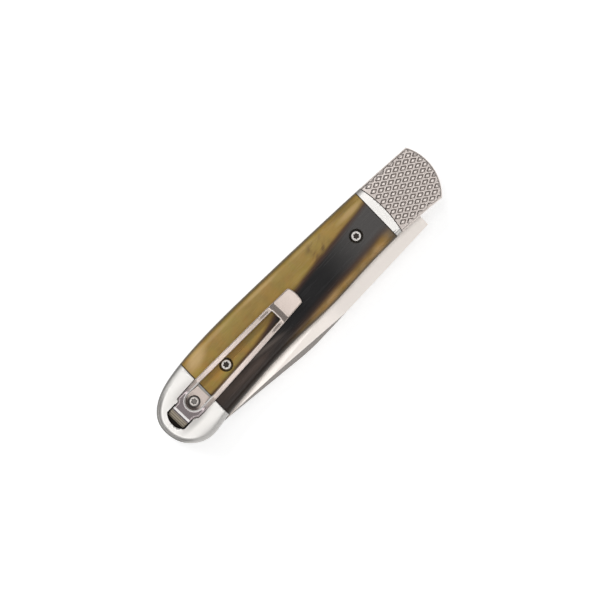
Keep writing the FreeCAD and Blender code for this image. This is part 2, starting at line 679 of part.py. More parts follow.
def clip_strip():
    """The clip seen from its side: a strip of one thickness, bent from tail to tab."""
    seat = CLIP_SHEET / 2 - CLIP_RECESS_DEPTH
    tail_end = CLIP_SHEET / 2 + CLIP_TAIL_CLEARANCE - SCALE_THICKNESS
    high = CLIP_CLEARANCE + CLIP_SHEET / 2
    touch = CLIP_TOUCH_GAP + CLIP_SHEET / 2
    fall = (CLIP_TAB_LIFT + CLIP_TOUCH_GAP) / (CLIP_LENGTH - CLIP_CREASE)
    tab_end = CLIP_LENGTH + CLIP_SHEET
    run = [
        Vector(-CLIP_TAIL_BEND - CLIP_TAIL_REACH, 0, tail_end),
        Vector(-CLIP_TAIL_BEND, 0, seat),
        Vector(CLIP_RISE_START, 0, seat),
        Vector(CLIP_ARM_START, 0, high),
        Vector(CLIP_BAR, 0, high),
        Vector(CLIP_CREASE, 0, touch),
        Vector(tab_end, 0, touch + fall * (tab_end - CLIP_CREASE)),
    ]
    bends = [CLIP_TIGHT_BEND, CLIP_EASY_BEND, CLIP_EASY_BEND, CLIP_TIGHT_BEND, CLIP_TIGHT_BEND]
    half = CLIP_SHEET / 2
    sides = []
    for way in (1, -1):
        radii = []
        for before, corner, after, bend in zip(run, run[1:], run[2:], bends):
            turn = (corner - before).cross(after - corner).y
            radii.append(bend + half if way * turn > 0 else bend)
        sides.append((beside_run(run, way * half), radii))
    (top, top_radii), (under, under_radii) = sides
    edges = rounded_run(top, top_radii) + rounded_run(under, under_radii)
    edges += [Part.makeLine(top[0], under[0]), Part.makeLine(top[-1], under[-1])]
    face = Part.Face(Part.Wire(Part.__sortEdges__(edges)))
    wide = CLIP_ARM_WIDTH
    return face.translated(Vector(0, -wide, 0)).extrude(Vector(0, 2 * wide, 0))


def mirrored(half):
    """A closed run of corners from the corners on one side of the clip's axis."""
    return half + [Vector(corner.x, -corner.y, corner.z) for corner in reversed(half)]


def clip_plan(low, high):
    """The clip seen from above, as a prism: tail, shoulders, arms and tab."""
    half = [
        Vector(-CLIP_TAIL_BEND - CLIP_TAIL_REACH - CLIP_SHEET, CLIP_TAIL_WIDTH / 2, 0),
        Vector(-CLIP_SHOULDER_REAR, CLIP_TAIL_WIDTH / 2, 0),
        Vector(-CLIP_SHOULDER_FRONT, CLIP_BASE_WIDTH / 2, 0),
        Vector(CLIP_ARM_START, CLIP_ARM_WIDTH / 2, 0),
        Vector(CLIP_BAR, CLIP_BAR_WIDTH / 2, 0),
        Vector(CLIP_LENGTH - CLIP_TAB_BULGE, CLIP_TAB_WIDTH / 2, 0),
    ]
    corners = mirrored(half)
    tab_top, tab_low = half[-1], Vector(half[-1].x, -half[-1].y, 0)
    edges = [Part.makeLine(a, b) for a, b in zip(half, half[1:])]
    edges.append(Part.Arc(tab_top, Vector(CLIP_LENGTH, 0, 0), tab_low).toShape())
    back = corners[len(half):] + corners[:1]
    edges += [Part.makeLine(a, b) for a, b in zip(back, back[1:])]
    plan = prism(edges, low, high)
    shoulders = upright_edges(plan, lambda point: -CLIP_TAIL_BEND < point.x < 0)
    plan = plan.makeFillet(CLIP_SHOULDER_ROUND, shoulders)
    return plan.makeFillet(CLIP_TAB_ROUND, upright_edges(plan, lambda point: point.x > CLIP_CREASE))


def clip_window(low, high):
    """The long pocket between the clip's arms, round at the screw and square at the bar."""
    radius = CLIP_WINDOW_RADIUS
    top, low_side = Vector(0, radius, 0), Vector(0, -radius, 0)
    front_low = Vector(CLIP_BAR, -CLIP_WINDOW_FRONT / 2, 0)
    front_top = Vector(CLIP_BAR, CLIP_WINDOW_FRONT / 2, 0)
    edges = [
        Part.Arc(top, Vector(-radius, 0, 0), low_side).toShape(),
        Part.makeLine(low_side, front_low),
        Part.makeLine(front_low, front_top),
        Part.makeLine(front_top, top),
    ]
    return prism(edges, low, high)


def top_rims(shape):
    """The edges where a face that looks up meets an upright wall."""
    found = []
    for edge in shape.Edges:
        middle = edge.valueAt((edge.FirstParameter + edge.LastParameter) / 2)
        faces = shape.ancestorsOfType(edge, Part.Face)
        rises = sorted(face.normalAt(*face.Surface.parameter(middle)).z for face in faces)
        if len(rises) == 2 and abs(rises[0]) < LEVEL_SHARE and rises[1] > UPWARD_SHARE:
            found.append(edge)
    return found


def on_handle(shape):
    """Put a shape of the clip's own frame in its place on the handle."""
    placed = shape.copy()
    placed.rotate(Vector(0, 0, 0), UP, CLIP_TILT)
    return placed.translated(CLIP_SCREW + Vector(0, 0, COVER_FACE))


def pocket_clip():
    """The pocket clip: a bent strip with a long window, and a thin tongue under its screw."""
    low, high = -COVER_FACE, COVER_FACE
    strip = clip_strip().common(clip_plan(low, high)).cut(clip_window(low, high))
    strip = strip.makeChamfer(CLIP_CHAMFER, top_rims(strip))
    floor = -CLIP_RECESS_DEPTH
    tongue = clip_window(floor, floor + CLIP_TONGUE_THICKNESS)
    tongue = tongue.common(block(-HANDLE_LENGTH, CLIP_TONGUE_LENGTH, low, high))
    bore = CLIP_SCREW_DIAMETER / 2 + CLIP_SCREW_HOLE_CLEARANCE
    return on_handle(strip.fuse(tongue).removeSplitter().cut(rod(Vector(0, 0, 0), bore, low, high)))


def clip_seat(front):
    """The shallow seat that the clip's base takes in the covers, as far as a place in front of its screw."""
    ease = CLIP_RECESS_CLEARANCE
    half = [
        Vector(-CLIP_TAIL_BEND, CLIP_TAIL_WIDTH / 2 + ease, 0),
        Vector(-CLIP_SHOULDER_REAR - ease, CLIP_TAIL_WIDTH / 2 + ease, 0),
        Vector(-CLIP_SHOULDER_FRONT - ease, CLIP_BASE_WIDTH / 2 + ease, 0),
        Vector(front, CLIP_ARM_WIDTH / 2 + ease, 0),
    ]
    return prism(polygon_edges(mirrored(half)), -CLIP_RECESS_DEPTH, OVERRUN)


def clip_slot():
    """The deep slot in the butt bolster that the clip's tail goes down into."""
    front = CLIP_SHEET - CLIP_TAIL_BEND
    wide = CLIP_SLOT_WIDTH / 2
    sides = [Vector(front, wide, 0), Vector(-CLIP_TAIL_BEND - CLIP_SLOT_SIDE, wide, 0)]
    corners = mirrored(sides)
    edges = [
        Part.makeLine(corners[0], corners[1]),
        Part.Arc(corners[1], Vector(-CLIP_TAIL_BEND - CLIP_SLOT_REACH, 0, 0), corners[2]).toShape(),
        Part.makeLine(corners[2], corners[3]),
        Part.makeLine(corners[3], corners[0]),
    ]
    return prism(edges, -SCALE_THICKNESS, OVERRUN)


def clip_side_butt(plain):
    """The clip side's butt bolster, with the clip's seat open to the seam, its slot and its screw hole."""
    recess = on_handle(clip_seat(CLIP_ARM_START + OVERRUN).fuse(clip_slot()))
    bore = CLIP_SCREW_DIAMETER / 2 + CLIP_SCREW_HOLE_CLEARANCE
    return plain.cut([recess, rod(CLIP_SCREW, bore, 0, COVER_FACE)])


def clip_side_scale(plain):
    """The clip side's scale, with the clip's seat where a short butt lets it reach that far."""
    return plain.cut(on_handle(clip_seat(CLIP_TONGUE_LENGTH + CLIP_RECESS_CLEARANCE)))


def clip_screw():
    """The screw that holds the clip, its head on the clip's tongue and its shank in the rear barrel."""
    seat = COVER_FACE - CLIP_RECESS_DEPTH + CLIP_TONGUE_THICKNESS
    top = seat + CLIP_SCREW_HEAD_HEIGHT
    length = top - (LINER_FACE - CLIP_SCREW_GRIP)
    screw = pan_screw(CLIP_SCREW_HEAD_DIAMETER, CLIP_SCREW_HEAD_HEIGHT, CLIP_SCREW_DIAMETER, length)
    return screw.translated(CLIP_SCREW + Vector(0, 0, top))


def scale_screws():
    """The two screws of the clip side's scale, which end flush with the liner's inner face."""
    top = COVER_FACE - SCREW_SUNK
    screw = pan_screw(SCREW_HEAD_DIAMETER, SCREW_HEAD_HEIGHT, SCREW_SHANK_DIAMETER, top - CHANNEL_FACE)
    return Part.Compound([screw.translated(place + Vector(0, 0, top)) for place in SCALE_SCREWS])


def bolster_screws():
    """The hidden screws of the clip side's bolsters."""
    screw = bolster_screw()
    return Part.Compound([screw.translated(place) for place in bolster_screw_places()])


def pieces():
    """Every piece of the knife by name, about the blade's middle plane."""
    cover = cover_half()
    plain_butt = butt_bolster(cover)
    plain_scale = scale(cover)
    centre_pin = rod(centre_pin_place(), CENTRE_PIN_DIAMETER / 2, -LINER_FACE, LINER_FACE)
    made = {
        "blade": blade(),
        "backspring": backspring(),
        "pivot_pin": pivot_pin(),
        "spring_centre_pin": centre_pin,
        "rear_barrel": rear_barrel(),
        "pocket_clip": pocket_clip(),
        "clip_screw": clip_screw(),
        "clip_side_butt_bolster": clip_side_butt(plain_butt),
        "far_side_butt_bolster": far_side(plain_butt),
        "clip_side_scale": clip_side_scale(plain_scale),
        "far_side_scale": far_side(plain_scale),
    }
    pairs = {
        "liner": liner(),
        "washer": washer(),
        "collar": collar(cover),
        "knurled_bolster": knurled_bolster(),
        "scale_screws": scale_screws(),
        "bolster_screws": bolster_screws(),
    }
    for name, shape in pairs.items():
        made["clip_side_" + name] = shape
        made["far_side_" + name] = far_side(shape)
    return made


os.makedirs("parts", exist_ok=True)
for name, shape in pieces().items():
    lifted = shape.translated(Vector(0, 0, COVER_FACE))
    box = lifted.BoundBox
    print(name, len(lifted.Solids), lifted.isValid(), round(lifted.Volume, 2), box)
    lifted.exportStep("parts/" + name + ".step")
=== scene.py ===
"""Looks of a shut folding pocket knife with horn scales, steel bolsters and a pocket clip.

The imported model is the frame: X runs from the butt to the pivot end, Y from the belly to the back and Z from
the far side to the clip side. Lengths are in metres and angles in degrees.
"""
from __future__ import annotations

import logging
import math
from collections.abc import Sequence
from dataclasses import dataclass, field, replace
from enum import Enum
from functools import partial, reduce

import bmesh
import bpy
import numpy as np
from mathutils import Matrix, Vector
from mathutils.geometry import delaunay_2d_cdt


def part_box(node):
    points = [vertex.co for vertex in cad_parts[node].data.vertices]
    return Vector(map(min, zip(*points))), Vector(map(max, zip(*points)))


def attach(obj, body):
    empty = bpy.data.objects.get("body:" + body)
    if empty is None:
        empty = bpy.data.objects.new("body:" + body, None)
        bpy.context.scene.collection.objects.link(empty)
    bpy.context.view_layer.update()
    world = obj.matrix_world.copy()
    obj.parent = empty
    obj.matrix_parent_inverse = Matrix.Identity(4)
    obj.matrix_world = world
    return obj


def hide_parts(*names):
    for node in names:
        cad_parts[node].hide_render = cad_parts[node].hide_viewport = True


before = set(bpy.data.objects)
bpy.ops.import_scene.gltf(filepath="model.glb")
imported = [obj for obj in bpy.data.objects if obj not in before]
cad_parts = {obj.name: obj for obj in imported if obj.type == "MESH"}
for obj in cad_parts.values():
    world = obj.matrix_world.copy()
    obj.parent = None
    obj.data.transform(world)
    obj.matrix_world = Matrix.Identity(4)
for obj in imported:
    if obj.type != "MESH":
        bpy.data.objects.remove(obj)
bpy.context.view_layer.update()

LOG = logging.getLogger("knife")

Colour = tuple[float, float, float, float]
Place = tuple[float, float, float]
Span = tuple[float, float]
Socket = bpy.types.NodeSocket

# The blade's middle plane, and the flat outer face of the covers above it
MIDDLE = 0.00542
COVER_FACE = 0.00542
# The places along X where the horn scales meet the butt bolsters and the collars
REAR_SEAM = -0.03625
FRONT_SEAM = 0.0318
# How far the pocket clip and its slot are turned about Z
CLIP_TURN = 2.5
# Points nearer than this are one point, in a mesh and in a flat plan
SAME_PLACE = 2e-6
SAME_IN_PLAN = 1e-9
# The kind of plan that keeps the triangles inside an outline
INSIDE_ONLY = 1
# How often the shader looks round an edge to ease it
EDGE_SAMPLES = 16
# The numbers of a mix node's colour sockets, whose names it uses more than once
MIX_SHARE, MIX_FIRST, MIX_SECOND = 0, 6, 7
MIX_RESULT = 2


def display(red: int, green: int, blue: int) -> Colour:
    """A colour from its display values.

    Args:
        red: The red value, from 0 to 255.
        green: The green value, from 0 to 255.
        blue: The blue value, from 0 to 255.

    Returns:
        The same colour in linear values, with full alpha.
    """
    linear = [((value / 255 + 0.055) / 1.055) ** 2.4 for value in (red, green, blue)]
    return (*linear, 1.0)


class Side(Enum):
    """The two sides of the handle, with the sign of the way out."""

    CLIP = ("clip_side", 1)
    FAR = ("far_side", -1)

    @property
    def prefix(self) -> str:
        """The first words of this side's node names."""
        return self.value[0]

    @property
    def way(self) -> int:
        """The way out of the handle along Z."""
        return self.value[1]

    def node(self, piece: str) -> str:
        """The name of this side's node of a piece."""
        return f"{self.prefix}_{piece}"


class Lay(Enum):
    """The way a steel surface was finished, with its grain's stretch along X, Y and Z."""

    ALONG = (1.0, 14.0, 14.0)
    ACROSS = (14.0, 1.0, 14.0)
    BLASTED = (6.0, 6.0, 6.0)


class NodeLayer:
    """A node tree that takes nodes and links in few words."""

    def __init__(self, tree: bpy.types.NodeTree) -> None:
        """Take a tree to work in."""
        self.tree = tree

    def add(self, kind: str, **settings: object) -> bpy.types.Node:
        """Add a node.

        Args:
            kind: The node's type.
            **settings: Values of the node's own properties.

        Returns:
            The new node.
        """
        node = self.tree.nodes.new(kind)
        for name, value in settings.items():
            setattr(node, name, value)
        return node

    def feed(self, socket: Socket, value: object) -> None:
        """Link a socket to another one, or give it a plain value.

        Args:
            socket: The socket that takes the value.
            value: Another socket, or a plain value.
        """
        if isinstance(value, Socket):
            self.tree.links.new(value, socket)
        else:
            socket.default_value = value

    def call(
        self, kind: str, inputs: dict[str | int, object], output: str | int = 0, **settings: object
    ) -> Socket:
        """Add a node, feed it and give one output.

        Args:
            kind: The node's type.
            inputs: Sockets or plain values by the input's name or number.
            output: The output's name or number.
            **settings: Values of the node's own properties.

        Returns:
            The output socket.
        """
        node = self.add(kind, **settings)
        for name, value in inputs.items():
            self.feed(node.inputs[name], value)
        return node.outputs[output]

    def math(self, operation: str, *values: object, clamp: bool = False) -> Socket:
        """The result of a sum on one, two or three values."""
        return self.call("ShaderNodeMath", dict(enumerate(values)), operation=operation, use_clamp=clamp)

    def times(self, *values: object) -> Socket:
        """The product of two or more values."""
        return reduce(partial(self.math, "MULTIPLY"), values)

    def total(self, *values: object) -> Socket:
        """The sum of two or more values."""
        return reduce(partial(self.math, "ADD"), values)

    def largest(self, *values: object) -> Socket:
        """The largest of two or more values."""
        return reduce(partial(self.math, "MAXIMUM"), values)

    def less(self, first: object, second: object) -> Socket:
        """The first value less the second one."""
        return self.math("SUBTRACT", first, second)

    def ratio(self, first: object, second: object) -> Socket:
        """The first value over the second one."""
        return self.math("DIVIDE", first, second)

    def apart(self, first: object, second: object) -> Socket:
        """How far two values lie apart."""
        return self.math("ABSOLUTE", self.less(first, second))

    def vector(self, operation: str, *values: object) -> Socket:
        """The vector or the number that a sum on one or two vectors gives."""
        output = "Value" if operation in ("DOT_PRODUCT", "LENGTH") else "Vector"
        return self.call("ShaderNodeVectorMath", dict(enumerate(values)), output, operation=operation)

    def parts(self, vector: Socket) -> tuple[Socket, ...]:
        """The three values of a vector."""
        return tuple(self.call("ShaderNodeSeparateXYZ", {0: vector}).node.outputs)

    def joined(self, x: object, y: object, z: object) -> Socket:
        """A vector from its three values."""
        return self.call("ShaderNodeCombineXYZ", {"X": x, "Y": y, "Z": z})

    def between(
        self, value: object, low: object, high: object, to_low: float = 0.0, to_high: float = 1.0
    ) -> Socket:
        """A value eased from one range into another, and held at its ends."""
        inputs = {"Value": value, "From Min": low, "From Max": high, "To Min": to_low, "To Max": to_high}
        return self.call("ShaderNodeMapRange", inputs, interpolation_type="SMOOTHSTEP")

    def mix(self, share: object, first: object, second: object) -> Socket:
        """A colour between two colours."""
        inputs = {MIX_SHARE: share, MIX_FIRST: first, MIX_SECOND: second}
        return self.call("ShaderNodeMix", inputs, MIX_RESULT, data_type="RGBA")

    def ramp(self, value: object, stops: Sequence[Span]) -> Socket:
        """A grey that follows a value through a row of stops.

        Args:
            value: The value, from 0 to 1.
            stops: Values and the greys there.

        Returns:
            The grey.
        """
        node = self.add("ShaderNodeValToRGB")
        elements = node.color_ramp.elements
        while len(elements) < len(stops):
            elements.new(1.0)
        for element, (at, grey) in zip(elements, stops):
            element.position = at
            element.color = (grey, grey, grey, 1.0)
        self.feed(node.inputs[0], value)
        return node.outputs[0]

    def noise(
        self, vector: object, scale: float, detail: float = 2.0, seed: object = 0.0, warp: float = 0.0
    ) -> Socket:
        """Smooth noise from 0 to 1 over a vector."""
        inputs = {"Vector": vector, "W": seed, "Scale": scale, "Detail": detail, "Distortion": warp}
        return self.call("ShaderNodeTexNoise", inputs, noise_dimensions="4D")

    def group(self, tree: bpy.types.NodeTree, inputs: dict[str, object]) -> Socket:
        """The output of a node group that is placed and fed."""
        return self.call("ShaderNodeGroup", inputs, node_tree=tree)


class ShaderGroup(NodeLayer):
    """A shader node group that puts out a mask over the places on a surface."""

    def __init__(self, name: str, output: str, sizes: dict[str, float]) -> None:
        """Make the group.

        Args:
            name: The group's name.
            output: The name of its mask.
            sizes: Default values of its number inputs by name.
        """
        super().__init__(bpy.data.node_groups.new(name, "ShaderNodeTree"))
        sockets = self.tree.interface
        sockets.new_socket("Vector", in_out="INPUT", socket_type="NodeSocketVector")
        for label, value in sizes.items():
            sockets.new_socket(label, in_out="INPUT", socket_type="NodeSocketFloat").default_value = value
        sockets.new_socket(output, in_out="OUTPUT", socket_type="NodeSocketFloat")
        self.taken = self.add("NodeGroupInput").outputs
        self.given = self.add("NodeGroupOutput").inputs

    def end(self, mask: Socket) -> bpy.types.NodeTree:
        """Close the group with its mask, and give its tree."""
        self.feed(self.given[0], mask)
        return self.tree


class SharedEffects:
    """The shader groups that the finishes share."""

    coarse_share: float = 0.55
    fine_scale: float = 3.7
    grain_span: Span = (0.3, 0.7)
    cloud_detail: float = 3.0
    cloud_warp: float = 0.6
    cloud_span: Span = (0.35, 0.7)
    edge_span: Span = (0.01, 0.12)
    edge_breaks: float = 320.0
    break_span: Span = (0.2, 0.5)
    seam_core: float = 0.3

    def __init__(self) -> None:
        """Build each group once."""
        self.grain = self.build_grain()
        self.marks = self.build_marks()
        self.edge_wear = self.build_edge_wear()
        self.side_tone = self.build_side_tone()
        self.seam_line = self.build_seam_line()
        self.hollow = self.build_hollow()

    def build_grain(self) -> bpy.types.NodeTree:
        """Fine lines or pits of a finishing tool, coarse ones mixed with fine ones.

        Returns:
            The group's tree.
        """
        group = ShaderGroup("tool_grain", "Grain", {"Density": 700.0, "Seed": 0.0})
        seed = group.taken["Seed"]
        scaled = group.vector("MULTIPLY", group.taken["Vector"], group.taken["Density"])
        coarse = group.times(group.noise(scaled, 1.0, seed=seed), self.coarse_share)
        fine = group.times(group.noise(scaled, self.fine_scale, seed=seed), 1 - self.coarse_share)
        return group.end(group.between(group.total(coarse, fine), *self.grain_span))

    def build_marks(self) -> bpy.types.NodeTree:
        """Soft clouds of handling, a few millimetres wide.

        Returns:
            The group's tree.
        """
        group = ShaderGroup("hand_marks", "Marks", {"Size": 0.006, "Seed": 0.0})
        scaled = group.vector("DIVIDE", group.taken["Vector"], group.taken["Size"])
        clouds = group.noise(scaled, 1.0, self.cloud_detail, group.taken["Seed"], self.cloud_warp)
        return group.end(group.between(clouds, *self.cloud_span))

    def build_edge_wear(self) -> bpy.types.NodeTree:
        """Bright edges, partly wear and partly painted highlight, found where a rounded normal leaves the true
        one.

        Returns:
            The group's tree.
        """
        group = ShaderGroup("edge_wear", "Wear", {"Reach": 0.0002, "Seed": 0.0})
        rounded = group.call("ShaderNodeBevel", {"Radius": group.taken["Reach"]}, samples=EDGE_SAMPLES)
        true = group.add("ShaderNodeNewGeometry").outputs["Normal"]
        bend = group.less(1.0, group.vector("DOT_PRODUCT", rounded, true))
        edge = group.between(bend, *self.edge_span)
        broken = group.noise(group.taken["Vector"], self.edge_breaks, seed=group.taken["Seed"])
        return group.end(group.times(edge, group.between(broken, *self.break_span)))

    def build_side_tone(self) -> bpy.types.NodeTree:
        """How far a point lies down the side wall of the handle, from 0 on the flat face to 1.

        Returns:
            The group's tree.
        """
        group = ShaderGroup("side_tone", "Side", {"Top": COVER_FACE, "Bottom": 0.003})
        height = group.apart(group.parts(group.taken["Vector"])[2], MIDDLE)
        return group.end(group.between(height, group.taken["Top"], group.taken["Bottom"]))

    def build_seam_line(self) -> bpy.types.NodeTree:
        """The dark line along a straight seam across the handle.

        Returns:
            The group's tree.
        """
        group = ShaderGroup("seam_line", "Line", {"Place": 0.0, "Reach": 0.0002})
        reach = group.taken["Reach"]
        off = group.apart(group.parts(group.taken["Vector"])[0], group.taken["Place"])
        return group.end(group.between(off, reach, group.times(reach, self.seam_core)))

    def build_hollow(self) -> bpy.types.NodeTree:
        """The depth of a slot: 1 inside its box and under its mouth.

        Returns:
            The group's tree.
        """
        sizes = {"Half Length": 0.002, "Half Width": 0.002, "Mouth": 0.005, "Ease": 0.0003}
        group = ShaderGroup("hollow", "Depth", sizes)
        taken = group.taken
        along, across, height = group.parts(taken["Vector"])
        depth = group.between(height, taken["Mouth"], group.less(taken["Mouth"], taken["Ease"]))
        for value, half in ((along, taken["Half Length"]), (across, taken["Half Width"])):
            off = group.math("ABSOLUTE", value)
            depth = group.times(depth, group.between(off, half, group.less(half, taken["Ease"])))
        return group.end(depth)


class Painter(NodeLayer):
    """A material under work, with its Principled shader and Object coordinates."""

    def __init__(self, name: str, effects: SharedEffects) -> None:
        """Make an empty material.

        Args:
            name: The material's name.
            effects: The shared shader groups.
        """
        self.effects = effects
        self.material = bpy.data.materials.new(name)
        self.material.use_nodes = True
        super().__init__(self.material.node_tree)
        self.tree.nodes.clear()
        self.shader = self.add("ShaderNodeBsdfPrincipled")
        self.feed(self.add("ShaderNodeOutputMaterial").inputs["Surface"], self.shader.outputs[0])
        self.place = self.add("ShaderNodeTexCoord").outputs["Object"]

    def turned(
        self, stretch: Place = (1.0, 1.0, 1.0), turn: float = 0.0, centre: Place = (0.0, 0.0, 0.0)
    ) -> Socket:
        """Object coordinates moved to a centre, turned about Z and stretched.

        Args:
            stretch: The stretch of each of the three values.
            turn: The turn about Z.
            centre: The place that becomes the origin.

        Returns:
            The new coordinates.
        """
        moved = self.call("ShaderNodeMapping", {"Vector": self.place, "Location": tuple(-c for c in centre)})
        spun = self.call("ShaderNodeMapping", {"Vector": moved, "Rotation": (0.0, 0.0, math.radians(-turn))})
        return self.vector("MULTIPLY", spun, stretch)

    def attribute(self, name: str) -> Socket:
        """The value of a named attribute of the piece's mesh."""
        return self.add("ShaderNodeAttribute", attribute_name=name).outputs["Fac"]

    def set(self, **values: object) -> None:
        """Feed the shader's sockets, named with _ for a space."""
        for name, value in values.items():
            self.feed(self.shader.inputs[name.replace("_", " ")], value)

    def bump(self, height: object, distance: float, eased: float = 0.0) -> None:
        """Roughen the surface.

        Args:
            height: The height over the surface, from 0 to 1.
            distance: The real depth that the height spans.
            eased: The radius that edges are eased to, or 0.
        """
        inputs = {"Height": height, "Distance": distance}
        if eased:
            inputs["Normal"] = self.call("ShaderNodeBevel", {"Radius": eased}, samples=EDGE_SAMPLES)
        self.set(Normal=self.call("ShaderNodeBump", inputs))


@dataclass(frozen=True)
class Slot:
    """The clip's slot in the butt, with painted shade inside it."""

    centre: Place = (-0.04724, 0.00013, MIDDLE)
    turn: float = CLIP_TURN
    half_length: float = 0.0028
    half_width: float = 0.0037
    mouth: float = 0.0052
    # Colour of the painted shade inside the slot
    tone: Colour = display(38, 34, 31)

    def shade(self, paint: Painter, colour: object) -> Socket:
        """A colour, darkened by painted shade in the slot.

        Args:
            paint: The material under work.
            colour: The colour outside the slot.

        Returns:
            The colour over the whole surface.
        """
        inputs = {
            "Vector": paint.turned(turn=self.turn, centre=self.centre),
            "Half Length": self.half_length,
            "Half Width": self.half_width,
            "Mouth": self.mouth,
        }
        return paint.mix(paint.group(paint.effects.hollow, inputs), colour, self.tone)


@dataclass(frozen=True)
class Smudge:
    """A soft oval of another colour on a surface: a tint of the surface's own colour, a painted highlight or a
    painted shadow.
    """

    centre: Span
    half_length: float
    half_width: float
    tone: Colour
    share: float
    turn: float = 0.0
    core: float = 0.2

    def lay(self, paint: Painter, colour: object) -> Socket:
        """A colour with the patch laid over it.

        Args:
            paint: The material under work.
            colour: The colour under the patch.

        Returns:
            The colour over the whole surface.
        """
        stretch = (1 / self.half_length, 1 / self.half_width, 0.0)
        reach = paint.vector("LENGTH", paint.turned(stretch, self.turn, (*self.centre, 0.0)))
        return paint.mix(paint.between(reach, 1.0, self.core, 0.0, self.share), colour, self.tone)


@dataclass(frozen=True)
class SteelFinish:
    """A bare steel surface: its colours, its grain, and painted shade on its walls, towards belly and back, in
    its recesses and its slot.
    """

    name: str
    colour: Colour
    shade: Colour
    lay: Lay
    roughness: Span = (0.28, 0.42)
    density: float = 700.0
    depth: float = 4e-6
    grain_share: float = 0.35
    marks_share: float = 0.25
    grain_gloss: float = 0.6
    # The wall's grey and the greys towards belly and back are painted shade
    wall: Colour | None = None
    wall_span: Span = (0.0053, 0.0046)
    wall_belly: float = 1.0
    belly: Span = (-0.0045, -0.0085)
    belly_reach: Span = (-0.0054, -0.0090)
    belly_dull: float = 0.0
    belly_film: float = 0.0
    back_reach: Span = (0.0076, 0.0112)
    back_dull: float = 0.0
    back_film: float = 0.0
    smudges: tuple[Smudge, ...] = ()
    # Colour of painted shade in recesses, read from a named attribute of the mesh
    sunk: Colour | None = None
    seam: float | None = None
    seam_reach: float = 0.00012
    seam_tone: Colour = display(84, 78, 74)
    # Painted shade in the clip's slot
    slot: Slot | None = None
    eased: float = 0.0
    turn: float = 0.0
    seed: float = 1.0
    marks_seed: float = 4.0

    def material(self, effects: SharedEffects) -> bpy.types.Material:
        """Make the material.

        Args:
            effects: The shared shader groups.

        Returns:
            The finished material.
        """
        paint = Painter(self.name, effects)
        place = paint.turned(self.lay.value, self.turn)
        grain = paint.group(effects.grain, {"Vector": place, "Density": self.density, "Seed": self.seed})
        marks = paint.group(effects.marks, {"Vector": paint.place, "Seed": self.marks_seed})
        marked = paint.times(marks, self.marks_share)
        dark = paint.math("ADD", paint.times(grain, self.grain_share), marked, clamp=True)
        colour = paint.mix(dark, self.colour, self.shade)
        # Painted shade on the walls and towards belly and back
        if self.wall:
            colour = paint.mix(self.side(paint), colour, self.wall)
        # Tints and painted light in soft patches
        for patch in self.smudges:
            colour = patch.lay(paint, colour)
        if self.seam:
            inputs = {"Vector": paint.place, "Place": self.seam, "Reach": self.seam_reach}
            colour = paint.mix(paint.group(effects.seam_line, inputs), colour, self.seam_tone)
        # Painted shade in the slot
        if self.slot:
            colour = self.slot.shade(paint, colour)
        # Painted shade in recesses
        if self.sunk:
            colour = paint.mix(paint.attribute("sunk"), colour, self.sunk)
        colour = self.tone(paint, colour)
        paint.set(Base_Color=colour, Metallic=self.bare(paint), Roughness=self.gloss(paint, grain, marks))
        paint.bump(grain, self.depth, self.eased)
        return paint.material

    def side(self, paint: Painter) -> Socket:
        """How far the wall's grey, a painted shade, covers the surface: on the walls, and a little towards
        belly and back.

        Args:
            paint: The material under work.

        Returns:
            The share of the grey.
        """
        top, bottom = self.wall_span
        side = paint.group(paint.effects.side_tone, {"Vector": paint.place, "Top": top, "Bottom": bottom})
        y = paint.parts(paint.place)[1]
        side = paint.times(side, paint.between(y, *self.belly, 1.0, self.wall_belly))
        belly = paint.between(y, *self.belly_reach, 0.0, self.belly_dull)
        return paint.largest(side, belly, paint.between(y, *self.back_reach, 0.0, self.back_dull))

    def tone(self, paint: Painter, colour: object) -> Socket:
        """The colour over the surface, which a finish of its own kind may change."""
        return colour

    def bare(self, paint: Painter) -> float | Socket:
        """How bare the metal is.

        Args:
            paint: The material under work.

        Returns:
            A value from 0 under a film to 1.
        """
        if not (self.belly_film or self.back_film):
            return 1.0
        y = paint.parts(paint.place)[1]
        belly = paint.between(y, *self.belly_reach, 1.0, 1.0 - self.belly_film)
        return paint.times(belly, paint.between(y, *self.back_reach, 1.0, 1.0 - self.back_film))

    def gloss(self, paint: Painter, grain: object, marks: object) -> Socket:
        """The roughness over the surface, from the grain and the marks."""
        rough = paint.total(paint.times(grain, self.grain_gloss), paint.times(marks, 1 - self.grain_gloss))
        return paint.between(rough, 0.0, 1.0, *self.roughness)


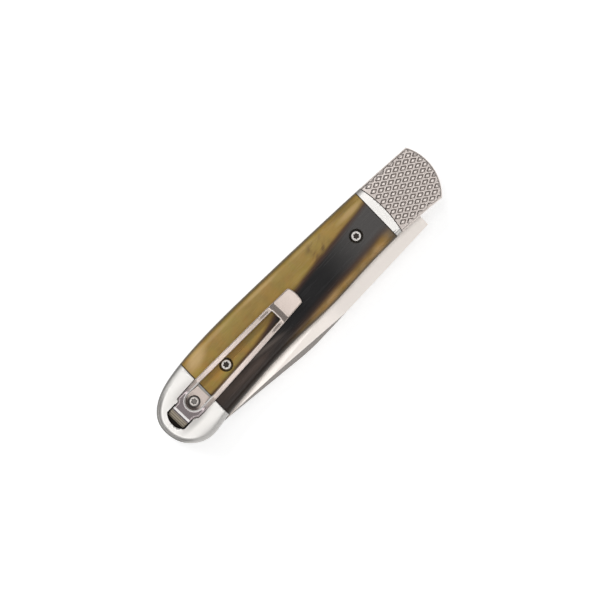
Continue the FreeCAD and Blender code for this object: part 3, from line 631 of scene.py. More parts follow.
@dataclass(frozen=True)
class ClipFinish(SteelFinish):
    """The pocket clip's steel: bright from the press and rubbed along its arms, with painted highlights on its
    edges, rims and arms, painted shade over its base, a tail painted lighter and a painted shadow behind its
    screw.

    Places along the clip are taken from its screw.
    """

    screw: Span = (-0.0407, 0.00042)
    length: float = 0.042
    wear_reach: float = 0.0003
    worn: Colour = (0.95, 0.94, 0.92, 1.0)
    worn_end: Span = (0.03468, 0.0340)
    pocket: float = 0.00264
    pocket_fade: Span = (0.00264, 0.002376)
    pocket_behind: Span = (0.0009, -0.0014)
    # Painted shadow in the pocket behind the screw
    pocket_shade: Colour = display(58, 50, 48)
    pocket_dark: float = 0.92
    tongue_side: Span = (0.0027984, 0.002508)
    tongue_tip: Span = (0.00585, 0.00507)
    tongue_dull: float = 0.15
    # A purple grey painted over the base as shade
    tint: Colour = display(176, 164, 178)
    tint_share: float = 0.5
    rim: float = 0.0004
    rim_line: float = 0.00274
    rim_fade: Span = (0.0003, 0.00014)
    rim_end: Span = (0.00546, 0.0039)
    rim_white: float = 0.8
    rim_dull: float = 0.20
    rim_film: float = 0.6
    bend: float = -0.0050
    bend_fade: Span = (0.00042, 0.00021)
    tail_fade: Span = (-0.0056, -0.005936)
    # Painted light: the tail, down in the slot's shade, takes a lighter olive grey
    tail_tone: Colour = display(206, 194, 170)
    tail_dull: float = 0.25
    tail_film: float = 0.80
    rib_pitch: float = 0.00062
    rib_span: Span = (-0.6, 0.8)
    rib_shade: Colour = display(92, 84, 68)
    rib_dark: float = 0.6
    arm_start: Span = (0.0040, 0.0110)
    arm_end: Span = (0.0280, 0.0140)
    # Colour of the painted highlight along the arms
    arm_tone: Colour = display(241, 225, 217)
    arms: tuple[Span, ...] = (
        (0.0, 0.0), (0.017, 0.10), (0.05, 0.22), (0.68, 0.22), (0.705, 0.04), (0.76, 0.04), (0.775, 0.18),
        (0.785, 0.18), (0.793, 0.0), (0.828, 0.0), (0.84, 0.26), (0.86, 0.22), (0.95, 0.18), (1.0, 0.22),
    )

    def spread(self, paint: Painter) -> tuple[Socket, Socket, Socket]:
        """The places on the clip, laid out flat.

        Args:
            paint: The material under work.

        Returns:
            The place along the clip, across it, and away from the line that its pocket follows.
        """
        along, across, _ = paint.parts(paint.turned(turn=self.turn, centre=(*self.screw, 0.0)))
        off = paint.vector("LENGTH", paint.joined(paint.math("MINIMUM", along, 0.0), across, 0.0))
        return along, across, off

    def rim_mask(self, paint: Painter, along: object, off: object) -> Socket:
        """The rims that take a painted highlight: round the pocket, as far as the tongue goes, and along the
        tail's bend.

        Args:
            paint: The material under work.
            along: The place along the clip.
            off: The place away from the pocket's line.

        Returns:
            1 on the rims and 0 elsewhere.
        """
        edge = paint.between(paint.apart(off, self.rim_line), *self.rim_fade)
        edge = paint.times(edge, paint.between(along, *self.rim_end))
        return paint.largest(edge, paint.between(paint.apart(along, self.bend), *self.bend_fade))

    def tail_mask(self, paint: Painter, along: object, full: float) -> Socket:
        """The tail, which goes down into the butt's slot."""
        return paint.between(along, *self.tail_fade, 0.0, full)

    def tone(self, paint: Painter, colour: object) -> Socket:
        """The colour over the surface: worn edges partly painted as highlight, painted highlights on the rims
        and arms, painted shade over the base, a tail painted lighter, a painted shadow in the pocket and a
        ribbed tail.

        Args:
            paint: The material under work.
            colour: The plain steel's colour.

        Returns:
            The colour over the whole clip.
        """
        along, across, off = self.spread(paint)
        # Bright edges short of the tab, partly wear and partly painted highlight
        inputs = {"Vector": paint.place, "Reach": self.wear_reach, "Seed": self.seed}
        wear = paint.group(paint.effects.edge_wear, inputs)
        colour = paint.mix(paint.times(wear, paint.between(along, *self.worn_end)), colour, self.worn)
        # Painted shade: a purple grey over the base behind the pocket
        base_shade = paint.between(off, self.pocket, self.pocket + self.rim, 0.0, self.tint_share)
        colour = paint.mix(paint.times(base_shade, paint.between(along, self.pocket, 0.0)), colour, self.tint)
        # Painted highlight along the arms
        arms = paint.times(paint.between(along, *self.arm_start), paint.between(along, *self.arm_end))
        colour = paint.mix(arms, colour, self.arm_tone)
        # Painted highlight on the rims round the pocket and along the bend
        rim = paint.times(self.rim_mask(paint, along, off), self.rim_white)
        colour = paint.mix(rim, colour, self.worn)
        # Painted light: a lighter olive grey on the tail in the slot
        colour = paint.mix(self.tail_mask(paint, along, self.tail_film), colour, self.tail_tone)
        # Painted shadow in the pocket behind the screw
        reach = paint.vector("LENGTH", paint.joined(along, across, 0.0))
        behind = paint.between(along, *self.pocket_behind)
        behind = paint.times(behind, paint.between(reach, *self.pocket_fade), self.pocket_dark)
        colour = paint.mix(behind, colour, self.pocket_shade)
        rib = paint.math("SINE", paint.times(along, 2 * math.pi / self.rib_pitch))
        rib = paint.times(paint.between(rib, *self.rib_span), self.tail_mask(paint, along, self.rib_dark))
        return paint.mix(rib, colour, self.rib_shade)

    def bare(self, paint: Painter) -> Socket:
        """How bare the metal is: the tail and the rims that take a painted highlight are less bare, which
        lightens them.

        Args:
            paint: The material under work.

        Returns:
            A value from 0 under a film to 1.
        """
        along, _, off = self.spread(paint)
        rim = paint.times(self.rim_mask(paint, along, off), self.rim_film)
        return paint.less(1.0, paint.largest(rim, self.tail_mask(paint, along, self.tail_film)))

    def gloss(self, paint: Painter, grain: object, marks: object) -> Socket:
        """The roughness over the surface, higher where the clip is rubbed dull.

        Args:
            paint: The material under work.
            grain: The steel's grain.
            marks: The clouds of handling.

        Returns:
            The roughness.
        """
        along, _, off = self.spread(paint)
        tongue = paint.times(paint.between(off, *self.tongue_side), paint.between(along, *self.tongue_tip))
        share = paint.math("DIVIDE", along, self.length, clamp=True)
        arms = paint.call("ShaderNodeSeparateColor", {"Color": paint.ramp(share, self.arms)}, "Red")
        rim = paint.times(self.rim_mask(paint, along, off), self.rim_dull)
        tail = self.tail_mask(paint, along, self.tail_dull)
        dull = paint.largest(paint.times(tongue, self.tongue_dull), arms, rim, tail)
        return paint.total(super().gloss(paint, grain, marks), dull)


@dataclass(frozen=True)
class BladeFinish(SteelFinish):
    """The blade's steel: the swedge is glossier than the flat, and the flat is duller towards the point."""

    swedge_lean: Span = (-0.15, -0.30)
    swedge_gloss: float = -0.075
    flat_lean: Span = (0.06, 0.03)
    tip: Span = (0.008, -0.004)
    tip_dull: float = 0.14

    def gloss(self, paint: Painter, grain: object, marks: object) -> Socket:
        """The roughness over the surface, grind by grind.

        Args:
            paint: The material under work.
            grain: The steel's grain.
            marks: The clouds of handling.

        Returns:
            The roughness.
        """
        lean = paint.parts(paint.add("ShaderNodeTexCoord").outputs["Normal"])[1]
        swedge = paint.between(lean, *self.swedge_lean, 0.0, self.swedge_gloss)
        flat = paint.between(paint.math("ABSOLUTE", lean), *self.flat_lean, 0.0, self.tip_dull)
        flat = paint.times(flat, paint.between(paint.parts(paint.place)[0], *self.tip))
        return paint.total(super().gloss(paint, grain, marks), swedge, flat)


@dataclass(frozen=True)
class Cloud:
    """Soft clouds of a colour in the horn."""

    tone: Colour
    size: float
    seed: float
    share: float


@dataclass(frozen=True)
class Cracks:
    """A few short soft cracks in the horn, about one place."""

    centre: Place = (0.0136, 0.0064, 0.0108)
    stretch: Place = (1.0, 0.4, 1.0)
    turn: float = -52.0
    density: float = 430.0
    warp: float = 0.4
    span: Span = (0.48, 0.66)
    reach: Span = (0.0052, 0.0020)
    share: float = 0.6
    seed: float = 7.0

    def mask(self, paint: Painter, seed: float) -> Socket:
        """Where the cracks are.

        Args:
            paint: The material under work.
            seed: The scale's own seed.

        Returns:
            The share of the cracks' colour.
        """
        place = paint.turned(self.stretch, self.turn)
        lines = paint.noise(place, self.density, seed=seed + self.seed, warp=self.warp)
        off = paint.vector("LENGTH", paint.vector("SUBTRACT", paint.place, self.centre))
        return paint.times(paint.between(lines, *self.span), paint.between(off, *self.reach), self.share)


@dataclass(frozen=True)
class DarkBand:
    """The horn's near black band: smoky brown at its rear, a lighter charcoal grey at its front that is partly
    a painted sheen, and painted shade towards the belly.
    """

    pitch: Colour = display(13, 12, 14)
    # Lighter charcoal at the front: horn colour, partly a painted sheen
    charcoal: Colour = display(98, 95, 93)
    bistre: Colour = display(80, 67, 60)
    # Colour of the painted shade towards the belly
    soot: Colour = display(34, 27, 23)
    stretch: Place = (1.0, 2.6, 2.6)
    turn: float = 5.0
    density: float = 95.0
    detail: float = 1.0
    seed: float = 5.0
    smoke_span: Span = (0.38, 0.70)
    smoke_lift: float = 0.35
    ash_span: Span = (-0.018, 0.006)
    front_span: Span = (0.008, 0.028)
    front_share: Span = (0.04, 0.60)
    rear_span: Span = (-0.004, -0.022)
    rear_share: float = 0.9
    soot_span: Span = (-0.0042, -0.0068)
    soot_share: float = 0.8

    def colour(self, paint: Painter, height: object, seed: float) -> Socket:
        """The band's colour.

        Args:
            paint: The material under work.
            height: The height on the scale, swayed by its grain.
            seed: The scale's own seed.

        Returns:
            The colour.
        """
        x = paint.parts(paint.place)[0]
        place = paint.turned(self.stretch, self.turn)
        smoke = paint.noise(place, self.density, self.detail, seed + self.seed)
        smoke = paint.math("ADD", paint.between(smoke, *self.smoke_span), self.smoke_lift, clamp=True)
        ash = paint.mix(paint.between(x, *self.ash_span), self.bistre, self.charcoal)
        front = paint.between(x, *self.front_span, *self.front_share)
        rear = paint.times(smoke, paint.between(x, *self.rear_span, 0.0, self.rear_share))
        dark = paint.mix(paint.largest(front, rear), self.pitch, ash)
        return paint.mix(paint.between(height, *self.soot_span, 0.0, self.soot_share), dark, self.soot)


@dataclass(frozen=True)
class HornFinish:
    """Polished horn: an olive brown band over a near black one, with a brown wedge along the belly."""

    name: str
    seed: float
    upper: tuple[Span, ...]
    lower: tuple[Span, ...]
    smudges: tuple[Smudge, ...]
    dark: DarkBand = DarkBand()
    cracks: Cracks = Cracks()
    olive: Colour = display(160, 133, 70)
    umber: Colour = display(134, 106, 52)
    tan: Colour = display(180, 148, 104)
    russet: Colour = display(72, 46, 32)
    # Colour of the painted shade down the rounded edge
    edge: Colour = display(60, 52, 40)
    edge_span: Span = (COVER_FACE - 0.0003, COVER_FACE - 0.0011)
    edge_share: float = 0.8
    seam_tone: Colour = display(34, 28, 22)
    seam_reach: float = 0.00034
    seam_share: float = 0.8
    grain_stretch: Place = (1.0, 2.2, 2.2)
    grain_turn: float = 4.0
    wave_density: float = 60.0
    sway: float = 0.0014
    fibre_stretch: Place = (1.0, 9.0, 9.0)
    fibre_density: float = 120.0
    fibre_detail: float = 3.0
    fibre_seed: float = 1.0
    fibre_span: Span = (0.45, 0.75)
    fibre_dark: float = 0.12
    fray: float = 0.0008
    mottle_size: float = 0.010
    mottle_share: float = 0.45
    fleck_size: float = 0.0034
    fleck_share: float = 0.35
    fleck_seed: float = 2.0
    tints: tuple[Cloud, ...] = (
        Cloud(display(150, 134, 62), 0.0038, 11.0, 0.8),
        Cloud(display(170, 126, 60), 0.0044, 17.0, 0.8),
    )
    tint_fade: Span = (-0.010, -0.026)
    tint_least: float = 0.5
    russet_span: Span = (-0.0016, 0.0006)
    olive_span: Span = (-0.0003, 0.0012)
    wedge_tint: Cloud = Cloud(display(170, 126, 60), 0.0030, 23.0, 0.5)
    wedge_russet: Span = (-0.0006, 0.0018)
    wedge_span: Span = (-0.0020, 0.0014)
    wedge_fade: Span = (-0.0150, 0.0040)
    wedge_end: Span = (FRONT_SEAM, 0.0275)
    wedge_least: float = 0.3
    half_height: float = 0.012
    gloss_span: Span = (0.3, 0.7)
    roughness: Span = (0.22, 0.30)
    specular: float = 0.3
    depth: float = 3e-6

    def material(self, effects: SharedEffects) -> bpy.types.Material:
        """Make the material.

        Args:
            effects: The shared shader groups.

        Returns:
            The finished material.
        """
        paint = Painter(self.name, effects)
        grain = paint.turned(self.grain_stretch, self.grain_turn)
        x, y, _ = paint.parts(paint.place)
        wave = paint.noise(grain, self.wave_density, seed=self.seed)
        fine = paint.turned(self.fibre_stretch, self.grain_turn)
        fibre = paint.noise(fine, self.fibre_density, self.fibre_detail, self.seed + self.fibre_seed)
        sway = paint.times(paint.less(wave, 0.5), self.sway)
        height = paint.total(y, sway, paint.times(paint.less(fibre, 0.5), self.fray))
        above = paint.less(height, self.boundary(paint, x, self.upper))
        below = paint.less(self.boundary(paint, x, self.lower), height)
        mottle = self.clouds(paint, grain, self.mottle_size, 0.0)

        colour = self.dark.colour(paint, height, self.seed)
        colour = paint.mix(paint.between(above, *self.russet_span), colour, self.russet)
        pale = self.pale_band(paint, grain, fibre, mottle)
        colour = paint.mix(paint.between(above, *self.olive_span), colour, pale)
        colour = self.wedge(paint, below, mottle, colour)
        for patch in self.smudges:
            colour = patch.lay(paint, colour)

        # Painted shade down the rounded edge of the scale
        top, bottom = self.edge_span
        side = paint.group(effects.side_tone, {"Vector": paint.place, "Top": top, "Bottom": bottom})
        colour = paint.mix(paint.times(side, self.edge_share), colour, self.edge)
        for seam in (REAR_SEAM, FRONT_SEAM):
            inputs = {"Vector": paint.place, "Place": seam, "Reach": self.seam_reach}
            line = paint.times(paint.group(effects.seam_line, inputs), self.seam_share)
            colour = paint.mix(line, colour, self.seam_tone)
        paint.set(Base_Color=colour, Roughness=paint.between(fibre, *self.gloss_span, *self.roughness))
        paint.set(Specular_IOR_Level=self.specular)
        paint.bump(fibre, self.depth)
        return paint.material

    def boundary(self, paint: Painter, x: object, points: Sequence[Span]) -> Socket:
        """The height of a band's edge along the scale.

        Args:
            paint: The material under work.
            x: The place along the scale.
            points: Places along the scale and heights there.

        Returns:
            The height at x.
        """
        share = paint.call("ShaderNodeMapRange", {"Value": x, "From Min": REAR_SEAM, "From Max": FRONT_SEAM})
        node = paint.add("ShaderNodeFloatCurve")
        curve = node.mapping.curves[0]
        length = FRONT_SEAM - REAR_SEAM
        shares = [((a - REAR_SEAM) / length, 0.5 + b / (2 * self.half_height)) for a, b in points]
        for number, (along, up) in enumerate(shares):
            if number < len(curve.points):
                curve.points[number].location = (along, up)
            else:
                curve.points.new(along, up)
        node.mapping.update()
        paint.feed(node.inputs["Value"], share)
        inputs = {"Value": node.outputs[0], "To Min": -self.half_height, "To Max": self.half_height}
        return paint.call("ShaderNodeMapRange", inputs)

    def clouds(self, paint: Painter, place: object, size: float, seed: float) -> Socket:
        """Soft clouds of a size, from 0 to 1."""
        inputs = {"Vector": place, "Size": size, "Seed": self.seed + seed}
        return paint.group(paint.effects.marks, inputs)

    def pale_band(self, paint: Painter, grain: object, fibre: object, mottle: object) -> Socket:
        """The olive brown band along the back, with warm and green clouds and a few soft cracks.

        Args:
            paint: The material under work.
            grain: Places stretched along the grain.
            fibre: The fine grain.
            mottle: The broad clouds.

        Returns:
            The colour.
        """
        fleck = paint.times(self.clouds(paint, grain, self.fleck_size, self.fleck_seed), self.fleck_share)
        pale = paint.mix(paint.total(paint.times(mottle, self.mottle_share), fleck), self.olive, self.umber)
        rear = paint.between(paint.parts(paint.place)[0], *self.tint_fade, self.tint_least, 1.0)
        for tint in self.tints:
            cloud = self.clouds(paint, paint.place, tint.size, tint.seed)
            pale = paint.mix(paint.times(cloud, rear, tint.share), pale, tint.tone)
        pale = paint.mix(paint.between(fibre, *self.fibre_span, 0.0, self.fibre_dark), pale, self.umber)
        return paint.mix(self.cracks.mask(paint, self.seed), pale, self.russet)

    def wedge(self, paint: Painter, below: object, mottle: object, colour: object) -> Socket:
        """Lay the brown wedge along the belly over a colour.

        Args:
            paint: The material under work.
            below: How far a point lies below the wedge's upper edge.
            mottle: The broad clouds.
            colour: The colour beside the wedge.

        Returns:
            The colour over the whole scale.
        """
        x = paint.parts(paint.place)[0]
        tint = self.wedge_tint
        warm = paint.times(self.clouds(paint, paint.place, tint.size, tint.seed), tint.share)
        brown = paint.mix(warm, paint.mix(mottle, self.tan, self.umber), tint.tone)
        wedge = paint.mix(paint.between(below, *self.wedge_russet), self.russet, brown)
        end = paint.between(x, *self.wedge_end, self.wedge_least, 1.0)
        share = paint.times(paint.between(below, *self.wedge_span), paint.between(x, *self.wedge_fade), end)
        return paint.mix(share, colour, wedge)


class PaintShop:
    """Makes each finish's material once."""

    def __init__(self) -> None:
        """Open the shop with the shared effects."""
        self.effects = SharedEffects()
        self.made: dict[str, bpy.types.Material] = {}

    def paint(self, finish: SteelFinish | HornFinish) -> bpy.types.Material:
        """The material of a finish.

        Args:
            finish: The finish.

        Returns:
            Its material, made at the first call.
        """
        if finish.name not in self.made:
            self.made[finish.name] = finish.material(self.effects)
        return self.made[finish.name]

    def dress(self, node: str, finish: SteelFinish) -> None:
        """Give a node of the frame its finish.

        Args:
            node: The node's name.
            finish: The finish.
        """
        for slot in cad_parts[node].material_slots:
            slot.material = self.paint(finish)
        LOG.info("%s is dressed in %s", node, finish.name)


class GeometryRule(NodeLayer):
    """A Geometry Nodes tree with named inputs, which is baked into plain meshes."""

    def __init__(self, name: str, sizes: dict[str, float], others: dict[str, str] | None = None) -> None:
        """Make the tree.

        Args:
            name: The tree's name.
            sizes: Default values of the number inputs by name.
            others: Socket types of the other inputs by name.
        """
        super().__init__(bpy.data.node_groups.new(name, "GeometryNodeTree"))
        sockets = self.tree.interface
        sockets.new_socket("Geometry", in_out="INPUT", socket_type="NodeSocketGeometry")
        sockets.new_socket("Geometry", in_out="OUTPUT", socket_type="NodeSocketGeometry")
        for label, value in sizes.items():
            sockets.new_socket(label, in_out="INPUT", socket_type="NodeSocketFloat").default_value = value
        for label, kind in (others or {}).items():
            sockets.new_socket(label, in_out="INPUT", socket_type=kind)
        sockets.new_socket("Material", in_out="INPUT", socket_type="NodeSocketMaterial")
        self.taken = self.add("NodeGroupInput").outputs
        self.given = self.add("NodeGroupOutput").inputs

    def end(self, geometry: Socket) -> None:
        """Close the tree with real geometry in its material.

        Args:
            geometry: The geometry, which may hold instances.
        """
        real = self.call("GeometryNodeRealizeInstances", {"Geometry": geometry})
        inputs = {"Geometry": real, "Material": self.taken["Material"]}
        self.feed(self.given["Geometry"], self.call("GeometryNodeSetMaterial", inputs))

    def bake(self, source: bpy.types.Object, values: dict[str, object]) -> bpy.types.Mesh:
        """Run the tree on an object.

        Args:
            source: The object whose mesh goes in.
            values: Values of the inputs by name.

        Returns:
            The plain mesh that comes out.
        """
        modifier = source.modifiers.new("rule", "NODES")
        modifier.node_group = self.tree
        for item in self.tree.interface.items_tree:
            if item.in_out == "INPUT" and item.name in values:
                modifier[item.identifier] = values[item.name]
        graph = bpy.context.evaluated_depsgraph_get()
        mesh = bpy.data.meshes.new_from_object(
            source.evaluated_get(graph), preserve_all_data_layers=True, depsgraph=graph
        )
        source.modifiers.remove(modifier)
        return mesh


def new_object(name: str, mesh: bpy.types.Mesh) -> bpy.types.Object:
    """Put a mesh in the scene, at the origin.

    Args:
        name: The object's name.
        mesh: The mesh.

    Returns:
        The new object.
    """
    made = bpy.data.objects.new(name, mesh)
    bpy.context.scene.collection.objects.link(made)
    return made


def mesh_of(name: str, points: np.ndarray, faces: Sequence[Sequence[int]]) -> bpy.types.Mesh:
    """A mesh from its points and faces.

    Args:
        name: The mesh's name.
        points: The points, one a row.
        faces: The numbers of each face's points.

    Returns:
        The new mesh.
    """
    mesh = bpy.data.meshes.new(name)
    mesh.from_pydata(points.tolist(), [], [list(map(int, face)) for face in faces])
    mesh.update()
    return mesh


def smooth(mesh: bpy.types.Mesh, angle: float) -> None:
    """Shade a mesh smooth, but for its sharp edges.

    Args:
        mesh: The mesh.
        angle: The least angle of a sharp edge.
    """
    mesh.shade_smooth()
    mesh.set_sharp_from_angle(angle=math.radians(angle))


def seat(piece: bpy.types.Object, body: str, slot: str, *nodes: str) -> None:
    """Let a new piece stand for its nodes.

    Args:
        piece: The finished object.
        body: The body that it rides on.
        slot: The record's material slot; not used.
        *nodes: The nodes that it replaces.
    """
    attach(piece, body)
    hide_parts(*nodes)
    LOG.info("%s stands for %s", piece.name, ", ".join(nodes))


def outer_loop(node: str, level: float) -> np.ndarray:
    """The outline of a node's flat face at a height.

    Args:
        node: The node's name.
        level: The height of the face.

    Returns:
        The points of the widest loop in X and Y, turning to the left.
    """
    work = bmesh.new()
    work.from_mesh(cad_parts[node].data)
    bmesh.ops.remove_doubles(work, verts=work.verts, dist=SAME_PLACE)
    flat = {face for face in work.faces if all(abs(v.co.z - level) < SAME_PLACE for v in face.verts)}
    after = {}
    for face in flat:
        for loop in face.loops:
            if not any(other in flat for other in loop.edge.link_faces if other is not face):
                after[loop.vert] = loop.link_loop_next.vert
    loops = []
    while after:
        start, step = after.popitem()
        points = [start.co.xy[:]]
        while step is not start:
            points.append(step.co.xy[:])
            step = after.pop(step)
        loops.append(np.array(points))
    work.free()
    widest = max(loops, key=lambda points: np.ptp(points, axis=0).sum())
    forward = np.roll(widest, -1, axis=0)
    turn = np.sum(widest[:, 0] * forward[:, 1] - widest[:, 1] * forward[:, 0])
    return widest if turn > 0 else widest[::-1]


def divided(points: np.ndarray, step: float) -> np.ndarray:
    """A closed row of points with no gap over a step.

    Args:
        points: The row's points.
        step: The longest gap.

    Returns:
        The same points with others between them.
    """
    rows = []
    for first, second in zip(points, np.roll(points, -1, axis=0)):
        count = max(1, math.ceil(np.linalg.norm(second - first) / step))
        rows.append(first + (second - first) * np.arange(count)[:, None] / count)
    return np.vstack(rows)


def distance_to(points: np.ndarray, starts: np.ndarray, ends: np.ndarray) -> np.ndarray:
    """The distance of each point to the nearest of some straight stretches.

    Args:
        points: The points.
        starts: Where each stretch starts.
        ends: Where each stretch ends.

    Returns:
        The distances.
    """
    nearest = np.full(len(points), np.inf)
    for start, end in zip(starts, ends):
        way = end - start
        share = np.clip((points - start) @ way / (way @ way), 0.0, 1.0)
        nearest = np.minimum(nearest, np.linalg.norm(points - start - share[:, None] * way, axis=1))
    return nearest


def within(points: np.ndarray, corners: np.ndarray) -> np.ndarray:
    """Which points lie inside a closed outline.

    Args:
        points: The points.
        corners: The outline's corners in order.

    Returns:
        True for each point inside.
    """
    inside = np.zeros(len(points), dtype=bool)
    for (x0, y0), (x1, y1) in zip(corners, np.roll(corners, -1, axis=0)):
        if y0 != y1:
            crossed = (points[:, 1] < y0) != (points[:, 1] < y1)
            inside ^= crossed & (points[:, 0] < x0 + (points[:, 1] - y0) * (x1 - x0) / (y1 - y0))
    return inside


def stations(node: str, gap: float = 0.001) -> list[np.ndarray]:
    """The points of each piece of a node, in order along X.

    Args:
        node: The node's name.
        gap: The least clear length between two pieces.

    Returns:
        The points, piece by piece.
    """
    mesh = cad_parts[node].data
    points = np.empty(len(mesh.vertices) * 3)
    mesh.vertices.foreach_get("co", points)
    points = points.reshape(-1, 3)
    points = points[np.argsort(points[:, 0])]
    return np.split(points, np.flatnonzero(np.diff(points[:, 0]) > gap) + 1)


@dataclass(frozen=True)
class Crown:
    """How far the covers fall towards the handle's back and belly."""

    inner: float = 0.00262
    fall: float = 0.00055
    middle: float = 0.0015
    half: float = 0.0100
    strip: float = 0.0004
    sharp: float = 30.0

    def crowned(self, node: str) -> bpy.types.Mesh:
        """Copy a cover's node and crown it.

        Args:
            node: The node's name.

        Returns:
            The crowned mesh.
        """
        low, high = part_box(node)
        work = bmesh.new()
        work.from_mesh(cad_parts[node].data)
        bmesh.ops.remove_doubles(work, verts=work.verts, dist=SAME_PLACE)
        for y in np.arange(low[1] + self.strip, high[1], self.strip):
            parts = [*work.verts, *work.edges, *work.faces]
            bmesh.ops.bisect_plane(
                work, geom=parts, dist=SAME_PLACE / 2, plane_co=(0.0, y, 0.0), plane_no=(0.0, 1.0, 0.0)
            )
        for vert in work.verts:
            height = abs(vert.co.z - MIDDLE)
            share = max(0.0, (height - self.inner) / (COVER_FACE - self.inner))
            drop = share * self.fall * ((vert.co.y - self.middle) / self.half) ** 4
            vert.co.z -= math.copysign(drop, vert.co.z - MIDDLE)
        mesh = bpy.data.meshes.new(node)
        work.to_mesh(mesh)
        work.free()
        smooth(mesh, self.sharp)
        return mesh

    def cover(self, node: str, material: bpy.types.Material, slot: str) -> None:
        """Let a crowned and dressed copy of a cover stand for its node.

        Args:
            node: The node's name.
            material: The cover's material.
            slot: The record's material slot.
        """
        mesh = self.crowned(node)
        mesh.materials.clear()
        mesh.materials.append(material)
        seat(new_object(f"{node}_crowned", mesh), "handle", slot, node)


@dataclass
class HornScales:
    """The horn scales of both sides. The far side's figure is a guess."""

    shop: PaintShop
    crown: Crown = Crown()
    figures: dict[Side, HornFinish] = field(default_factory=lambda: {
        Side.CLIP: HornFinish(
            "horn_clip_side", 2.0,
            upper=((-0.0362, -0.0018), (-0.0256, -0.0012), (-0.0208, -0.0009), (-0.0164, -0.0003),
                   (-0.0119, 0.0009), (-0.0077, 0.0021), (0.0008, 0.0030), (0.0062, 0.0039),
                   (0.0145, 0.0051), (0.0229, 0.0062), (0.0315, 0.0073)),
            lower=((-0.0362, -0.0090), (-0.0150, -0.0058), (-0.0060, -0.0049), (0.0006, -0.0046),
                   (0.0145, -0.0036), (0.0315, -0.0020)),
            smudges=(
                Smudge((-0.0322, 0.0086), 0.0062, 0.0030, display(204, 172, 120), 0.75, turn=20.0),
                Smudge((-0.0345, 0.0046), 0.0034, 0.0030, display(164, 148, 70), 0.55),
                Smudge((-0.0300, 0.0016), 0.0040, 0.0022, display(186, 134, 62), 0.5),
                # Painted sheen: a lighter grey streak low on the dark band
                Smudge((-0.0172, -0.0026), 0.0100, 0.0010, display(122, 110, 102), 0.6, turn=-4.7),
                # Painted highlight: a pale line along the back edge, in three pieces
                Smudge((-0.0235, 0.0099), 0.0100, 0.0009, display(198, 168, 118), 0.35, turn=2.0),
                Smudge((-0.0068, 0.0102), 0.0130, 0.0008, display(198, 168, 118), 0.50),
                Smudge((0.0098, 0.0101), 0.0080, 0.0008, display(198, 168, 118), 0.30, turn=-0.8),
                Smudge((0.0251, 0.0099), 0.0085, 0.0011, display(112, 88, 52), 0.50, turn=-0.8),
                Smudge((0.0268, 0.0082), 0.0070, 0.0012, display(196, 164, 114), 0.55, turn=1.5),
            ),
        ),
        Side.FAR: HornFinish(
            "horn_far_side", 7.0,
            upper=((-0.0362, 0.0010), (-0.0200, 0.0022), (-0.0050, 0.0018), (0.0150, 0.0035),
                   (0.0315, 0.0048)),
            lower=((-0.0362, -0.0100), (-0.0100, -0.0080), (0.0100, -0.0052), (0.0315, -0.0040)),
            smudges=(Smudge((0.0250, 0.0088), 0.0060, 0.0030, display(190, 152, 98), 0.5, turn=-15.0),),
        ),
    })

    def build(self) -> None:
        """Crown and dress both scales."""
        for side, figure in self.figures.items():
            self.crown.cover(side.node("scale"), self.shop.paint(figure), "horn")


@dataclass
class SmoothBolsters:
    """The plain butt bolsters and collars of both sides."""

    shop: PaintShop
    crown: Crown = Crown()
    butt: SteelFinish = SteelFinish(
        "bolster_satin", display(252, 249, 245), display(246, 243, 239), Lay.ACROSS, roughness=(0.34, 0.42),
        # The wall's grey, the grey towards the belly and the slot's dark are painted shade
        wall=display(112, 110, 107), wall_span=(0.00536, 0.0045), wall_belly=0.36,
        belly_reach=(-0.0060, -0.0088), belly_dull=0.38, belly_film=0.6,
        back_reach=(0.0062, 0.0096), back_film=0.85, seam=REAR_SEAM, slot=Slot(),
        smudges=(
            # Painted shadows of the clip, below it and above it
            Smudge((-0.0434, -0.0036), 0.0080, 0.0019, display(140, 136, 132), 0.5, turn=CLIP_TURN),
            Smudge((-0.0410, 0.0042), 0.0090, 0.0030, display(150, 145, 140), 0.28, turn=CLIP_TURN),
        ),
    )
    collar: SteelFinish = SteelFinish(
        "collar_satin", display(252, 249, 245), display(246, 243, 239), Lay.ACROSS, roughness=(0.34, 0.42),
        # The wall's grey and the grey towards the back are painted shade
        wall=display(120, 117, 114), wall_span=(0.00538, 0.0044), wall_belly=0.7,
        belly=(0.0, -0.004), back_dull=0.15, back_film=0.75, seam=FRONT_SEAM,
    )

    def build(self) -> None:
        """Crown and dress each of them."""
        # The far side has no clip, so no painted shadows of it and no painted shade in a slot
        plain = replace(self.butt, name="bolster_plain", slot=None, smudges=())
        for side in Side:
            butt = self.butt if side is Side.CLIP else plain
            for piece, finish in (("butt_bolster", butt), ("collar", self.collar)):
                self.crown.cover(side.node(piece), self.shop.paint(finish), "bolster_steel")


